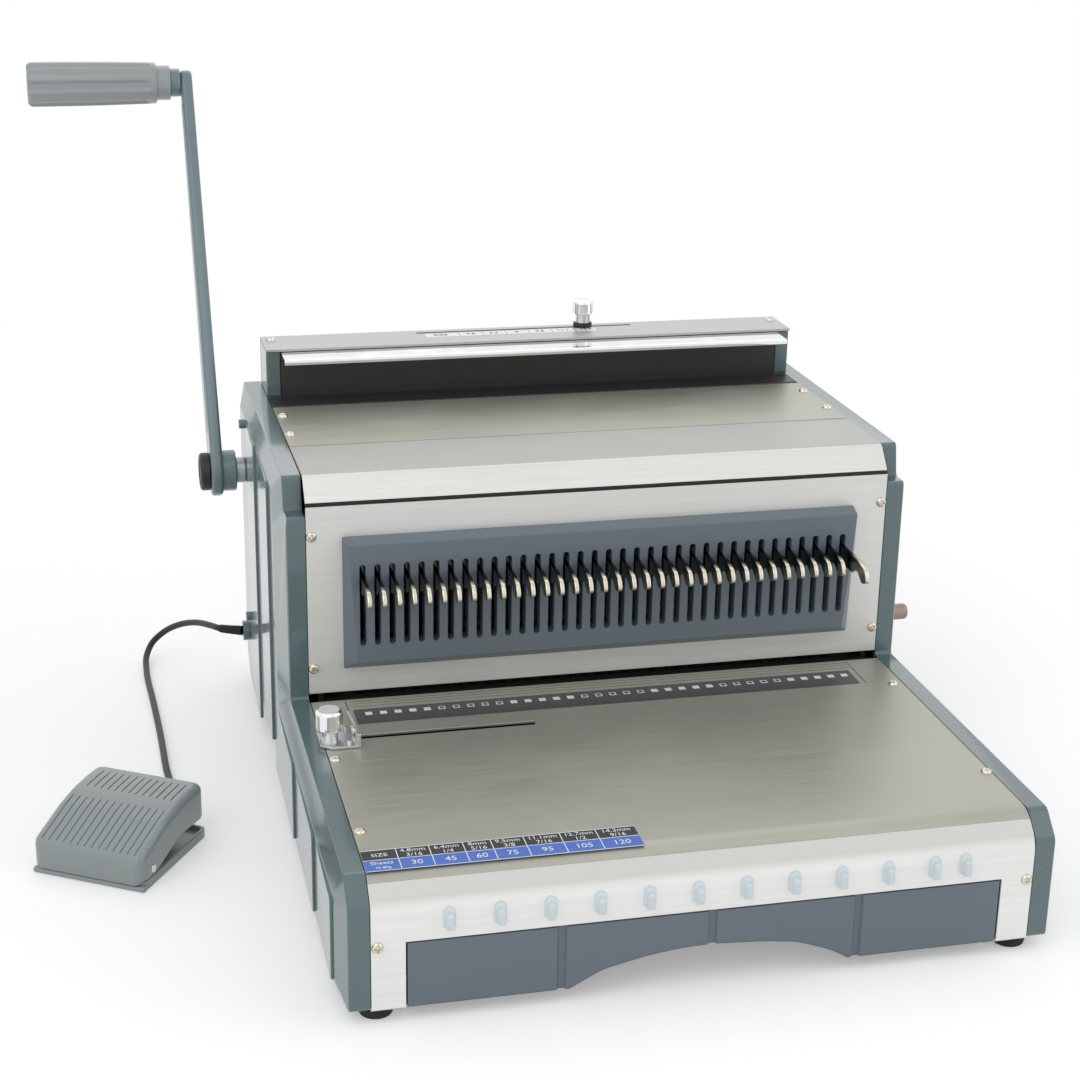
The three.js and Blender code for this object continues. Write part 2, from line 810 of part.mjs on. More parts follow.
// Size slider under the top plate and the knob on its stud
const sliderSpan = [sizeSlotY - sliderDepth / 2, sizeSlotY + sliderDepth / 2];
const sliderHalf = sliderLength / 2;
const sizePlace = [sizeKnobX, sizeSlotY];
put(
  "size_slider",
  join(
    box([sizeKnobX - sliderHalf, sizeKnobX + sliderHalf], sliderSpan, [lipTop - sliderHeight, lipTop]),
    box([sizeKnobX, sizeKnobX + sliderHalf], sliderSpan, [lipTop - sliderHeight * 1.5, lipTop]),
    bar("z", [lipTop - gap, closerTop + sizeKnobHeight / 2], sizePlace, sizeStudRadius, 10),
  ),
  steel,
);
const sizeCollar = sizeKnobRadius * 0.9;
const sizeNeck = sizeKnobRadius * 0.73;
const sizeKnobProfile = [
  [0, gap],
  [sizeCollar, gap],
  [sizeCollar, sizeKnobHeight * 0.19],
  [sizeNeck, sizeKnobHeight * 0.19],
  [sizeNeck, sizeKnobHeight * 0.47],
  [sizeKnobRadius, sizeKnobHeight * 0.52],
  [sizeKnobRadius, sizeKnobHeight * 0.93],
  [sizeKnobRadius * 0.88, sizeKnobHeight],
  [0, sizeKnobHeight],
];
put(
  "size_knob",
  cut(
    turned(sizeKnobProfile).translate([...sizePlace, closerTop]),
    bar("z", [closerTop - overrun, closerTop + sizeKnobHeight / 2 + gap], sizePlace, sizeStudRadius + gap, 10),
  ),
  chrome,
);

// Closing jaw: the bed that lifts, on two legs whose noses stand over the lever's cams
const legSpan = [-camWidth / 2, camWidth / 2];
const noseHalf = 0.5;
const legFront = leverY - camLow - overrun;
const camTop = leverZ + camLow + 2 * gap;
const footTop = camTop + 3.5 * plateThick;
const jawLeg = (x) => {
  const span = [x + legSpan[0], x + legSpan[1]];
  return join(
    box(span, [legFront, leverY - 3 * plateThick], [camTop - 8 * gap, bedUnder + gap]),
    box(span, [legFront, leverY + 2 * noseHalf], [footTop - camWidth, footTop]),
    box(span, [leverY - noseHalf, leverY + noseHalf], [camTop, footTop - gap]),
  );
};
put(
  "closing_jaw",
  join(
    box([-sheetHalf, sheetHalf], [bedFront, wallFront - gap], [bedUnder, bedTop]),
    jawLeg(-camCentre),
    jawLeg(camCentre),
  ),
  blackMetal,
);

// Lever shaft with the two jaw cams and the crank at its right end
const crankBoss = leverShaftRadius + plateThick;
const armInner = coverOuter + 2 * gap + collarLength + hubLength;
const armOuter = armInner + armThick;
const camSteps = 11;
const camStep = leverTravel / camSteps;
const camOutline = [
  ...Array.from({ length: camSteps + 1 }, (_, i) => {
    const turn = THREE.MathUtils.degToRad(camStep * i);
    const radius = camLow + (camRise * i) / camSteps;
    return [leverY + radius * Math.sin(turn), leverZ + radius * Math.cos(turn)];
  }),
  ...arc(leverCentre, camLow, quarter - camStep - leverTravel, 2 * camStep - 3 * quarter, camSteps - 1),
];
const crankArm = ([y, z]) =>
  slab("x", [crankX, crankX + crankThick], capsule([y, z], crankBoss, [y, z - crankRadius], crankBoss * 0.7));
const crankPin = ([y, z]) =>
  bar("x", [crankX + crankThick - gap, rodX + rodThick + gap], [y, z - crankRadius], crankPinRadius, 12);
put(
  "lever_shaft",
  join(
    bar("x", [-(armOuter - gap), crankX + gap], leverCentre, leverShaftRadius),
    slab("x", [camCentre + legSpan[0], camCentre + legSpan[1]], camOutline),
    slab("x", [-camCentre + legSpan[0], -camCentre + legSpan[1]], camOutline),
    crankArm(leverCentre),
    crankPin(leverCentre),
  ),
  steel,
);
const ring = ([from, to], centre, outer, inner, count = 24) =>
  cut(bar("x", [from, to], centre, outer, count), bar("x", [from - overrun, to + overrun], centre, inner, count));
const bushSpan = [plateInner - gap * 4, plateOuter + gap];
sides.forEach(([side, sign]) => {
  const bush = ring(bushSpan, leverCentre, bushOuter, leverShaftRadius + runClear);
  put(`shaft_bush_${side}`, onSide(sign, bush), zinc);
});
const shaftClear = leverShaftRadius + gap;
const collarInner = coverOuter + gap;
const hubInner = collarInner + collarLength + gap;
const collarSpan = [collarInner, collarInner + collarLength];
const hubCapSpan = [armOuter + gap, armOuter + gap + capLength];
put("shaft_collar", mirror(ring(collarSpan, leverCentre, collarRadius, shaftClear)), zinc);
put("hub_cap", mirror(bar("x", hubCapSpan, leverCentre, capRadius, 24)), blackPlastic);

// Lever arm, grip pin and turning grip
const tilt = THREE.MathUtils.degToRad(leverTilt);
const gripCentre = [leverY + armLength * Math.sin(tilt), leverZ + armLength * Math.cos(tilt)];
const armOutline = capsule(leverCentre, armWidthFoot * 0.8, gripCentre, armWidthHead / 2, 10);
put(
  "lever_arm",
  mirror(
    cut(
      join(
        slab("x", [armInner, armOuter], armOutline),
        bar("x", [hubInner, armInner + gap], leverCentre, hubRadius, 24),
      ),
      bar("x", [hubInner - overrun, armOuter + overrun], leverCentre, shaftClear),
      bar("x", [armInner - overrun, armOuter + overrun], gripCentre, gripPinRadius + gap),
    ),
  ),
  slateGreen,
);
const gripStart = armOuter + gap;
const gripBody = gripStart + gripBossLength + gripNeckLength;
const gripEnd = gripBody + gripLength;
const pinEnd = gripBody + gripLength / 2;
put("grip_pin", mirror(bar("x", [armInner, pinEnd], gripCentre, gripPinRadius)), steel);
const gripProfile = [
  [0, gripStart],
  [gripBossRadius, gripStart],
  [gripBossRadius, gripStart + gripBossLength],
  [gripNeckRadius, gripStart + gripBossLength],
  [gripNeckRadius, gripBody],
  [gripRadiusRoot, gripBody + gap],
  [gripRadiusEnd, gripEnd - plateThick],
  [gripRadiusEnd * 0.85, gripEnd],
  [0, gripEnd],
];
const grooveSpan = [gripBody + gripGrooveRadius * 4, gripEnd + overrun];
const gripRadius = (gripRadiusRoot + gripRadiusEnd) / 2;
const gripGroovePlaces = circle([0, 0], gripRadius + gripGrooveRadius * 0.4, gripGrooves);
put(
  "lever_grip",
  mirror(
    cut(
      turned(gripProfile, 32).rotate([0, 90, 0]),
      ...gripGroovePlaces.map((place) => bar("x", grooveSpan, place, gripGrooveRadius, 6)),
      bar("x", [gripStart - overrun, pinEnd + gap], [0, 0], gripPinRadius + gap),
    ).translate([0, ...gripCentre]),
  ),
  gripGrey,
);

// Hook carriage: bar, racks and one hook in each slot of the comb plate
const hookShares = [
  [-0.64, 0],
  [-0.907, 0.167],
  [-0.987, 0.5],
  [-1, 0.79],
  [-0.827, 1],
  [-0.72, 0.75],
  [-0.613, 0.54],
  [-0.507, 0.667],
  [-0.427, 0.875],
];
const carriageSpan = [carriageFront, carriageFront + carriageDepth];
const hookOutline = (extra) => [
  [carriageSpan[0] + gap, hookTop],
  ...hookShares.map(([along, down]) => [along * hookReach - extra, hookTop - down * hookHeight]),
  [carriageSpan[0] + gap, hookTop - 0.875 * hookHeight],
];
const hooks = slotPlaces.map((x, i) =>
  slab("x", [x - hookThick / 2, x + hookThick / 2], hookOutline(i === slotCount - 1 ? longHookExtra : 0)),
);
const rackLine = pinionShaftY - pinionRadius;
const toothPitch = Math.PI * gearModule;
const rackTeeth = Math.floor(rackHeight / toothPitch);
const flankShift = (height) => height * Math.tan(pressureAngle);
const rackOutline = () => {
  const root = rackLine - 1.25 * gearModule;
  const tip = rackLine + gearModule;
  const half = (toothPitch / 4) * (1 - backlashShare * 2);
  const rackBack = carriageSpan[1] - overrun;
  const outline = [[rackBack, rackBottom]];
  for (let i = 0; i < rackTeeth; i += 1) {
    const middle = rackBottom + overrun + i * toothPitch;
    outline.push([root, middle - half - flankShift(1.25 * gearModule)]);
    outline.push([tip, middle - half + flankShift(gearModule)]);
    outline.push([tip, middle + half - flankShift(gearModule)]);
    outline.push([root, middle + half + flankShift(1.25 * gearModule)]);
  }
  outline.push([rackBack, rackBottom + rackHeight]);
  return outline;
};
const rackSpan = [rackCentre - rackWidth / 2, rackCentre + rackWidth / 2];
const rack = slab("x", rackSpan, rackOutline());
const carriageTop = carriageBottom + carriageHeight;
const pinionRelief = box(
  [rackSpan[0] - gearModule, rackSpan[1] + gearModule],
  [rackLine - 1.25 * gearModule - gap, carriageSpan[1] + overrun],
  [carriageBottom + carriageHeight / 2, carriageTop + overrun],
);
put(
  "hook_carriage",
  join(
    cut(
      box([-(spanHalf - gap), spanHalf - gap], carriageSpan, [carriageBottom, carriageTop]),
      pinionRelief,
      mirror(pinionRelief),
    ),
    ...hooks,
    rack,
    mirror(rack),
  ),
  steel,
);

// Carriage shaft with its two pinions and the second crank
const nearestTooth = Math.round((pinionShaftZ - rackBottom - overrun) / toothPitch);
const rackPhase = pinionShaftZ - (rackBottom + overrun + nearestTooth * toothPitch);
const pinionAngle = Math.PI + Math.PI / pinionTeeth + rackPhase / pinionRadius;
const carriagePinion = slab("x", rackSpan, gearOutline(pinionCentre, gearModule, pinionTeeth, pinionAngle));
put(
  "carriage_shaft",
  join(
    bar("x", [-(plateOuter - gap), crankX + gap], pinionCentre, pinionShaftRadius),
    carriagePinion,
    mirror(carriagePinion),
    crankArm(pinionCentre),
    crankPin(pinionCentre),
  ),
  steel,
);
const rodEnds = [
  [leverY, leverZ - crankRadius],
  [pinionShaftY, pinionShaftZ - crankRadius],
];
put(
  "coupling_rod",
  cut(
    slab("x", [rodX, rodX + rodThick], capsule(rodEnds[1], rodHalfWidth, rodEnds[0], rodHalfWidth)),
    bar("x", [rodX - overrun, rodX + overrun], rodEnds[0], crankPinRadius + runClear, 12),
    bar("x", [rodX - overrun, rodX + overrun], rodEnds[1], crankPinRadius + crankClear, 12),
  ),
  steel,
);

// Edge guide with its clamping knob and nut
const guideBackY = -(guideSlotY - guideBack);
const guideFrontY = -(guideSlotY + guideFront);
const guideLeftX = -(guideX + guideLeft);
const guideRightX = -(guideX - guideRight);
const guideBaseZ = [tableTop + gap, tableTop + gap + sheetThick];
const guidePlace = [-(guideX - baseThick / 2), -guideSlotY];
const guideBore = guideScrewRadius + gap;
const guideHole = bar("z", [tableUnder - overrun, guideBaseZ[1] + overrun], guidePlace, guideBore, 10);
put(
  "edge_guide",
  cut(
    join(
      box([guideLeftX, guideRightX], [guideFrontY, guideBackY], guideBaseZ),
      box(
        [guideRightX - plateThick, guideRightX],
        [guideFrontY + 2 * baseThick, guideBackY + 4 * baseThick],
        [guideBaseZ[0], tableTop + guideStopHeight],
      ),
      box(
        [guideRightX - 2 * guideSlotWidth, guideRightX - gap],
        [-(guideSlotY + guideSlotWidth / 2 - gap), -(guideSlotY - guideSlotWidth / 2 + gap)],
        [tableUnder + gap, guideBaseZ[1] - gap],
      ),
      bar("z", [guideBaseZ[0], guideBaseZ[1] + guideKnobLift - gap], guidePlace, guideKnobRadius * 0.45, 12),
    ),
    guideHole,
  ),
  steel,
);
const knobBase = guideBaseZ[1] + guideKnobLift;
put(
  "guide_knob",
  join(
    turned([
      [0, 0],
      [guideKnobRadius * 0.8, 0],
      [guideKnobRadius, guideKnobHeight * 0.12],
      [guideKnobRadius, guideKnobHeight * 0.9],
      [guideKnobRadius * 0.85, guideKnobHeight],
      [0, guideKnobHeight],
    ]).translate([...guidePlace, knobBase]),
    bar("z", [tableUnder - overrun, knobBase + gap], guidePlace, guideScrewRadius, 10),
  ),
  chrome,
);
const nutHalf = 2 * guideScrewRadius;
put(
  "guide_nut",
  cut(
    box(
      [guidePlace[0] - nutHalf, guidePlace[0] + nutHalf],
      [guidePlace[1] - 2 * nutHalf, guidePlace[1] + 2 * nutHalf],
      [tableUnder - gap - plateThick, tableUnder - gap],
    ),
    bar("z", [tableUnder - 2 * overrun, tableUnder + overrun], guidePlace, guideBore, 10),
  ),
  zinc,
);

// Chip drawer: moulded front with a finger arch and an open tray behind it
const archShares = [
  [-0.77, 0.53],
  [-0.45, 0.84],
  [-0.19, 0.98],
  [0, 1],
  [0.35, 0.9],
  [0.61, 0.76],
  [0.74, 0.56],
  [0.88, 0.32],
];
const archOutline = [
  [-archHalf, skirtBottom - overrun],
  [-archHalf, skirtBottom],
  ...archShares.map(([along, up]) => [archHalf * along, skirtBottom + archRise * up]),
  [archHalf, skirtBottom],
  [archHalf, skirtBottom - overrun],
];
const drawerFrontSpan = [-tableDepth, trayFront];
const grooveAt = (x) =>
  box(
    [x - drawerGrooveWidth / 2, x + drawerGrooveWidth / 2],
    [-(tableDepth + overrun), -(tableDepth - drawerGrooveDepth)],
    [0, drawerTop + overrun],
  );
const trayFloor = baseTop + gap;
const trayBack = drawerFrontSpan[1] + trayLength;
const drawerShell = cut(
  join(
    box([-drawerHalf, drawerHalf], drawerFrontSpan, [skirtBottom, drawerTop]),
    box([-trayHalf, trayHalf], [drawerFrontSpan[1] - gap, trayBack], [trayFloor, trayFloor + trayHeight]),
  ),
  box(
    [-(trayHalf - trayWall), trayHalf - trayWall],
    [drawerFrontSpan[1] + trayPocket, trayBack - trayWall],
    [trayFloor + trayWall, trayFloor + trayHeight + overrun],
  ),
  box(
    [-(trayHalf - trayWall), trayHalf - trayWall],
    [drawerFrontSpan[1], drawerFrontSpan[1] + trayPocket - trayWall],
    [0, trayFloor + trayHeight + overrun],
  ),
  slab("y", [-(tableDepth + overrun), drawerFrontSpan[1] + overrun], archOutline),
  grooveAt(-drawerHalf / 2),
  grooveAt(0),
  grooveAt(drawerHalf / 2),
);
put("chip_drawer", drawerShell, slate);

// Die plate and stripper plate on either side of the paper throat
const punchBox = (x, clear, span) => {
  const half = punchSize / 2 + clear;
  return box([x - half, x + half], [punchY - half, punchY + half], span);
};
const throatBottom = tableUnder;
const dieSpan = [throatBottom - dieThick, throatBottom];
const stripperSpan = [throatBottom + throatHeight, throatBottom + throatHeight + stripperThick];
const punchHoles = ([from, to]) =>
  slotPlaces.map((x) => punchBox(x, punchHoleClear, [from - overrun, to + overrun]));
put(
  "die_plate",
  cut(
    box([-spanHalf, spanHalf], [-(tableBackEdge - gap), -(tableBackEdge - gap) + dieDepth], dieSpan),
    ...punchHoles(dieSpan),
  ),
  steel,
);
put(
  "stripper_plate",
  cut(box([-spanHalf, spanHalf], [panelBackFace, dieDepth / 2], stripperSpan), ...punchHoles(stripperSpan)),
  steel,
);

// Punch bar with its punches and the two yokes that the eccentrics drive
const webFront = panelBackFace + baseThick;
const webBack = webFront + punchBarDepth;
const eccentricThrow = punchStroke / 2;
const yokeHalf = eccentricRadius + eccentricThrow + yokeClear / 2;
const yokeReach = eccentricRadius + yokeClear;
const yokeInner = {
  y: [camShaftY - yokeHalf, camShaftY + yokeHalf],
  z: [camShaftZ + eccentricThrow - yokeReach, camShaftZ + eccentricThrow + yokeReach],
};
const yokeOuter = [yokeInner.y[0] - yokeWall, yokeInner.y[1] + yokeWall];
const yoke = (x) => {
  const span = [x - yokeWidth / 2, x + yokeWidth / 2];
  const armTop = yokeInner.z[0] - 3 * gap;
  return cut(
    join(
      box(span, yokeOuter, [armTop - yokeWidth, yokeInner.z[1] + yokeWall]),
      box(span, [webBack - gap, yokeInner.y[0]], [armTop - yokeWidth, armTop]),
    ),
    box([x - yokeWidth, x + yokeWidth], yokeInner.y, yokeInner.z),
  );
};
put(
  "punch_bar",
  join(
    box([-combHalf, combHalf], [webFront, webBack], [punchBarBottom, punchBarBottom + punchBarHeight]),
    ...slotPlaces.map((x) => punchBox(x, 0, [punchTip, punchBarBottom + gap])),
    yoke(-eccentricCentre),
    yoke(eccentricCentre),
  ),
  steel,
);

// Punch shaft with its eccentrics, and the drive gear on it
const eccentric = (x) =>
  bar(
    "x",
    [x - eccentricWidth / 2, x + eccentricWidth / 2],
    [camShaftY, camShaftZ + eccentricThrow],
    eccentricRadius,
    24,
  );
put(
  "punch_shaft",
  join(
    bar("x", [-(plateOuter - gap), plateOuter - gap], camShaftCentre, camShaftRadius),
    eccentric(-eccentricCentre),
    eccentric(eccentricCentre),
  ),
  steel,
);
const driveAngle = THREE.MathUtils.degToRad(motorAngle);
const motorDistance = (driveModule * (driveTeeth + motorTeeth)) / 2;
const motorCentre = [
  camShaftY + motorDistance * Math.cos(driveAngle),
  camShaftZ + motorDistance * Math.sin(driveAngle),
];
const gearSpan = [-gearWidth / 2, gearWidth / 2];
put(
  "drive_gear",
  cut(
    slab("x", gearSpan, gearOutline(camShaftCentre, driveModule, driveTeeth, driveAngle)),
    bar("x", [-gearWidth, gearWidth], camShaftCentre, camShaftRadius + gap),
  ),
  steel,
);

// Motor, gearbox and their mounting plate
const mountSpan = [gearWidth / 2 + plateThick, gearWidth / 2 + 2 * plateThick];
const boxSpan = [mountSpan[1] + gap, mountSpan[1] + gap + gearboxLength];
const motorSpan = [boxSpan[1] + gap, boxSpan[1] + gap + motorLength];
const pinionSpan = [-gearWidth / 2 - 3 * gap, gearWidth / 2 + 3 * gap];
const motorPinionAngle = driveAngle + Math.PI + Math.PI / motorTeeth;
put(
  "motor_pinion",
  join(
    slab("x", pinionSpan, gearOutline(motorCentre, driveModule, motorTeeth, motorPinionAngle)),
    bar("x", [0, boxSpan[0] + 3 * plateThick], motorCentre, motorShaftRadius, 12),
  ),
  steel,
);
const motorBox = (span, half) =>
  box(span, [motorCentre[0] - half, motorCentre[0] + half], [motorCentre[1] - half, motorCentre[1] + half]);
const shaftBore = ([from, to], extra) =>
  bar("x", [from - overrun, to], motorCentre, motorShaftRadius + extra, 12);
put(
  "gearbox",
  cut(motorBox(boxSpan, motorRadius), shaftBore([boxSpan[0], boxSpan[0] + 3 * plateThick + gap], runClear)),
  zinc,
);
put(
  "motor",
  join(
    bar("x", motorSpan, motorCentre, motorRadius, 24),
    bar("x", [motorSpan[1] - gap, motorSpan[1] + plateThick], motorCentre, motorRadius / 3, 16),
  ),
  blackMetal,
);
const mountY = [motorCentre[0] - motorRadius, motorCentre[0] + motorRadius];
put(
  "motor_mount",
  cut(
    join(
      box(mountSpan, mountY, [baseTop + gap, motorCentre[1] + motorRadius]),
      box([mountSpan[0], mountSpan[1] + motorRadius], mountY, [baseTop + gap, baseTop + gap + plateThick]),
    ),
    shaftBore([mountSpan[0], mountSpan[1] + overrun], plateThick),
  ),
  steel,
);

// Depth dial with its eccentric pin, and the stop bar in the paper throat
const dialSpan = [spanHalf - plateThick + 2 * gap, coverOuter + dialProud];
const dialPin = [dialY, dialZ + dialThrow];
put(
  "depth_dial",
  join(
    bar("x", dialSpan, dialCentre, dialRadius, 20),
    bar("x", [dialSpan[0] - 2 * plateThick, dialSpan[0] + gap], dialPin, dialPinRadius, 12),
  ),
  zinc,
);
const stopSpan = [stopSetback, stopSetback + stopDepth];
const stopZ = [throatBottom + gap, throatBottom + throatHeight - gap];
const uprightX = [dialSpan[0] - gap - plateThick, dialSpan[0] - gap];
const slotHalf = dialPinRadius + 1.5 * gap;
put(
  "depth_stop",
  cut(
    join(
      box([-combHalf, uprightX[1]], stopSpan, stopZ),
      box(uprightX, [stopSpan[0], dialY + 2 * dialPinRadius], stopZ),
      box(
        uprightX,
        [dialY - 2 * dialPinRadius, dialY + 2 * dialPinRadius],
        [stopZ[0], dialPin[1] + 2 * dialPinRadius + plateThick],
      ),
    ),
    box(
      [uprightX[0] - overrun, uprightX[1] + overrun],
      [dialY - slotHalf, dialY + slotHalf],
      [dialPin[1] - slotHalf - dialThrow, dialPin[1] + slotHalf],
    ),
  ),
  steel,
);

// Control board, power inlet, main switch and the pedal cord's gland
const boardBox = (u, v, width, depth, height) =>
  box(
    [boardX + u * boardWidth - width / 2, boardX + u * boardWidth + width / 2],
    [boardY + v * boardDepth - depth / 2, boardY + v * boardDepth + depth / 2],
    [boardHeight, boardHeight + height],
  );
const boardThick = 1.6;
put(
  "control_board",
  join(
    boardBox(0, 0, boardWidth, boardDepth, boardThick),
    boardBox(-0.25, 0.1, boardWidth / 4, boardDepth / 3, inletHeight),
    boardBox(0.1, 0.25, boardWidth / 8, boardDepth / 5, inletHeight / 2),
    boardBox(0.3, -0.2, boardWidth / 5, boardDepth / 4, inletHeight / 2),
    boardBox(0, -0.35, boardWidth / 2, boardDepth / 10, inletHeight / 3),
  ),
  boardGreen,
);
const rearFace = bodyBack + gap;
const panelPart = (x, width, depth) =>
  join(
    box(
      [x - width / 2, x + width / 2],
      [bodyBack - depth, rearFace + gap],
      [inletZ - inletHeight / 2, inletZ + inletHeight / 2],
    ),
    box(
      [x - width / 2 - plateThick, x + width / 2 + plateThick],
      [rearFace, rearFace + baseThick],
      [inletZ - inletHeight / 2 - plateThick, inletZ + inletHeight / 2 + plateThick],
    ),
  );
const panelHollow = (x, width, depth) =>
  box(
    [x - width / 2 + baseThick, x + width / 2 - baseThick],
    [rearFace - depth, rearFace + overrun],
    [inletZ - inletHeight / 2 + baseThick, inletZ + inletHeight / 2 - baseThick],
  );
const socketDepth = 16;
const pinPitch = inletWidth / 4;
const pinHalf = baseThick / 2;
put(
  "power_inlet",
  join(
    cut(panelPart(inletX, inletWidth, socketDepth + overrun), panelHollow(inletX, inletWidth, socketDepth)),
    ...[-1, 0, 1].map((step) => {
      const pinZ = inletZ - Math.abs(step) * pinHalf;
      return box(
        [inletX + step * pinPitch - pinHalf, inletX + step * pinPitch + pinHalf],
        [rearFace - socketDepth - gap, rearFace - plateThick],
        [pinZ - plateThick / 2, pinZ + plateThick / 2],
      );
    }),
  ),
  blackPlastic,
);
const switchDepth = 12;
const rockerDepth = 5;
const rockerCentre = [rearFace - baseThick, inletZ];
put(
  "switch_housing",
  cut(panelPart(switchX, switchWidth, switchDepth + baseThick), panelHollow(switchX, switchWidth, switchDepth)),
  blackPlastic,
);
const rockerHalf = switchWidth / 2 - baseThick - gap;
const rockerReach = inletHeight / 2 - baseThick - 2 * gap;
const rockerShares = [
  [-1, -0.476],
  [0.6, -1],
  [0.52, 0],
  [0.6, 1],
  [-1, 0.476],
];
put(
  "rocker_switch",
  slab(
    "x",
    [switchX - rockerHalf, switchX + rockerHalf],
    rockerShares.map(([out, up]) => [rockerCentre[0] + out * rockerDepth, rockerCentre[1] + up * rockerReach]),
  ),
  blackPlastic,
);
const exitCentre = [cordExitY, cordExitZ];
const glandRadius = cordRadius + plateThick;
const glandLength = 4;
const cordBore = cordRadius + gap;
const glandSpan = [coverOuter + gap, coverOuter + gap + glandLength];
put(
  "cord_gland",
  mirror(
    join(
      ring(glandSpan, exitCentre, glandRadius + sheetThick, cordBore, 20),
      ring([coverFlatEnd - coverWall, coverOuter + 2 * gap], exitCentre, glandRadius, cordBore, 20),
    ),
  ),
  slateGreen,
);
const cordStartX = -(coverOuter + 2 * gap + glandLength);

// Foot pedal, in its own frame: +X along its hinge, +Y towards its raised back
const pedalSpan = [0, pedalWidth];
const baseRim = pedalPinZ - 2.25 * pedalPinRadius;
const pinCentre = [pedalPinS, pedalPinZ];
const earSpan = (from) => [from, from + 2 * pedalWall];
const pedalEar = (span, from, to) =>
  cut(
    box(span, [pedalPinS - 2 * pedalPinRadius, pedalPinS + 2 * pedalPinRadius], [from, to]),
    bar("x", [span[0] - overrun, span[1] + overrun], pinCentre, pedalPinRadius + runClear, 12),
  );
const baseFrontEdge = pedalWall + 2 * gap;
const cordU = pedalWidth * 0.576;
const pedalCordZ = cordRadius + pedalBaseThick / 2;
const glandBack = [pedalLength - gap, pedalLength + 2 * glandLength];
put(
  "pedal_base",
  join(
    bar("y", glandBack, [cordU, pedalCordZ], cordRadius + 4 * gap, 12),
    cut(
      box(pedalSpan, [baseFrontEdge, pedalLength], [0, baseRim]),
      box(
        [pedalWall, pedalWidth - pedalWall],
        [baseFrontEdge + pedalWall, pedalLength - pedalWall],
        [pedalBaseThick, baseRim + overrun],
      ),
    ),
    pedalEar(earSpan(3 * pedalWall), pedalBaseThick - gap, pedalPinZ + 2 * pedalPinRadius),
    pedalEar(earSpan(pedalWidth - 5 * pedalWall), pedalBaseThick - gap, pedalPinZ + 2 * pedalPinRadius),
  ),
  pedalGrey,
  pedal,
);
const treadleShares = [
  [0, 0.116],
  [0, 0.52],
  [0.027, 0.6],
  [0.4, 0.87],
  [0.59, 0.957],
  [0.72, 0.977],
  [0.91, 1],
  [0.98, 0.94],
  [0.987, 0.49],
  [0.9, 0.406],
  [0.573, 0.44],
  [0.213, 0.19],
  [0.03, 0.18],
  [0.03, 0.116],
];
const treadleOutline = treadleShares.map(([along, up]) => [along * pedalLength, up * pedalRise]);
const treadleTop = treadleOutline.slice(0, 9);
const treadleTip = treadleTop.at(-1)[0];
const treadleHollow = [
  [pedalWall * 1.1, -overrun],
  ...inset([...treadleTop, [treadleTip, 0], [0, 0]], pedalWall * 1.05).slice(1, treadleTop.length - 1),
  [treadleTip - pedalWall, -overrun],
];
const treadleEar = (from) => pedalEar(earSpan(from), pedalPinZ - 2 * pedalPinRadius + gap, pedalRise * 0.62);
const ribX = pedalWidth / 2;
put(
  "pedal_treadle",
  join(
    cut(
      slab("x", pedalSpan, treadleOutline),
      slab("x", [pedalWall, pedalWidth - pedalWall], treadleHollow),
    ),
    treadleEar(5 * pedalWall + gap),
    treadleEar(pedalWidth - 7 * pedalWall - gap),
    box(
      [ribX - pedalWall / 2, ribX + pedalWall / 2],
      [pedalLength / 3, pedalLength / 3 + pedalWall * 2],
      [pedalRise * 0.42, pedalRise * 0.8],
    ),
  ),
  pedalGrey,
  pedal,
);
put(
  "pedal_pin",
  bar("x", [pedalWall + gap, pedalWidth - pedalWall - gap], pinCentre, pedalPinRadius, 12),
  steel,
  pedal,
);
const microHeight = pedalRise * 0.3;
put(
  "pedal_switch",
  join(
    box(
      [ribX - pedalRise / 3, ribX + pedalRise / 3],
      [pedalLength * 0.29, pedalLength * 0.43],
      [pedalBaseThick + gap, pedalBaseThick + gap + microHeight - pedalWall],
    ),
    box(
      [ribX - pedalWall, ribX + pedalWall],
      [pedalLength / 3, pedalLength / 3 + pedalWall],
      [pedalBaseThick, pedalBaseThick + microHeight],
    ),
  ),
  blackPlastic,
  pedal,
);

// Return spring between the base and the treadle, one unbroken coil
const springCentre = [pedalWidth / 2, pedalLength * 0.68];
const springRadius = 5;
const springWire = 0.6;
const springTurns = 6;
const springSteps = 8;
const springSpan = [pedalBaseThick + gap + springWire, treadleTop[5][1] - pedalWall - 2 * gap - springWire];
class SpringPath extends THREE.Curve {
  getPoint(t, target = new THREE.Vector3()) {
    const angle = round * springTurns * t;
    const z = springSpan[0] + (springSpan[1] - springSpan[0]) * t;
    const [x, y] = springCentre;
    return target.set(x + springRadius * Math.cos(angle), y + springRadius * Math.sin(angle), z);
  }
}
const tube = (path, radius, count, steps) => {
  const section = new THREE.Shape(circle([0, 0], radius, count).map(([u, v]) => new THREE.Vector2(u, v)));
  return solid(new THREE.ExtrudeGeometry(section, { steps, extrudePath: path, bevelEnabled: false }));
};
put("pedal_spring", tube(new SpringPath(), springWire, 5, springTurns * springSteps), steel, pedal);

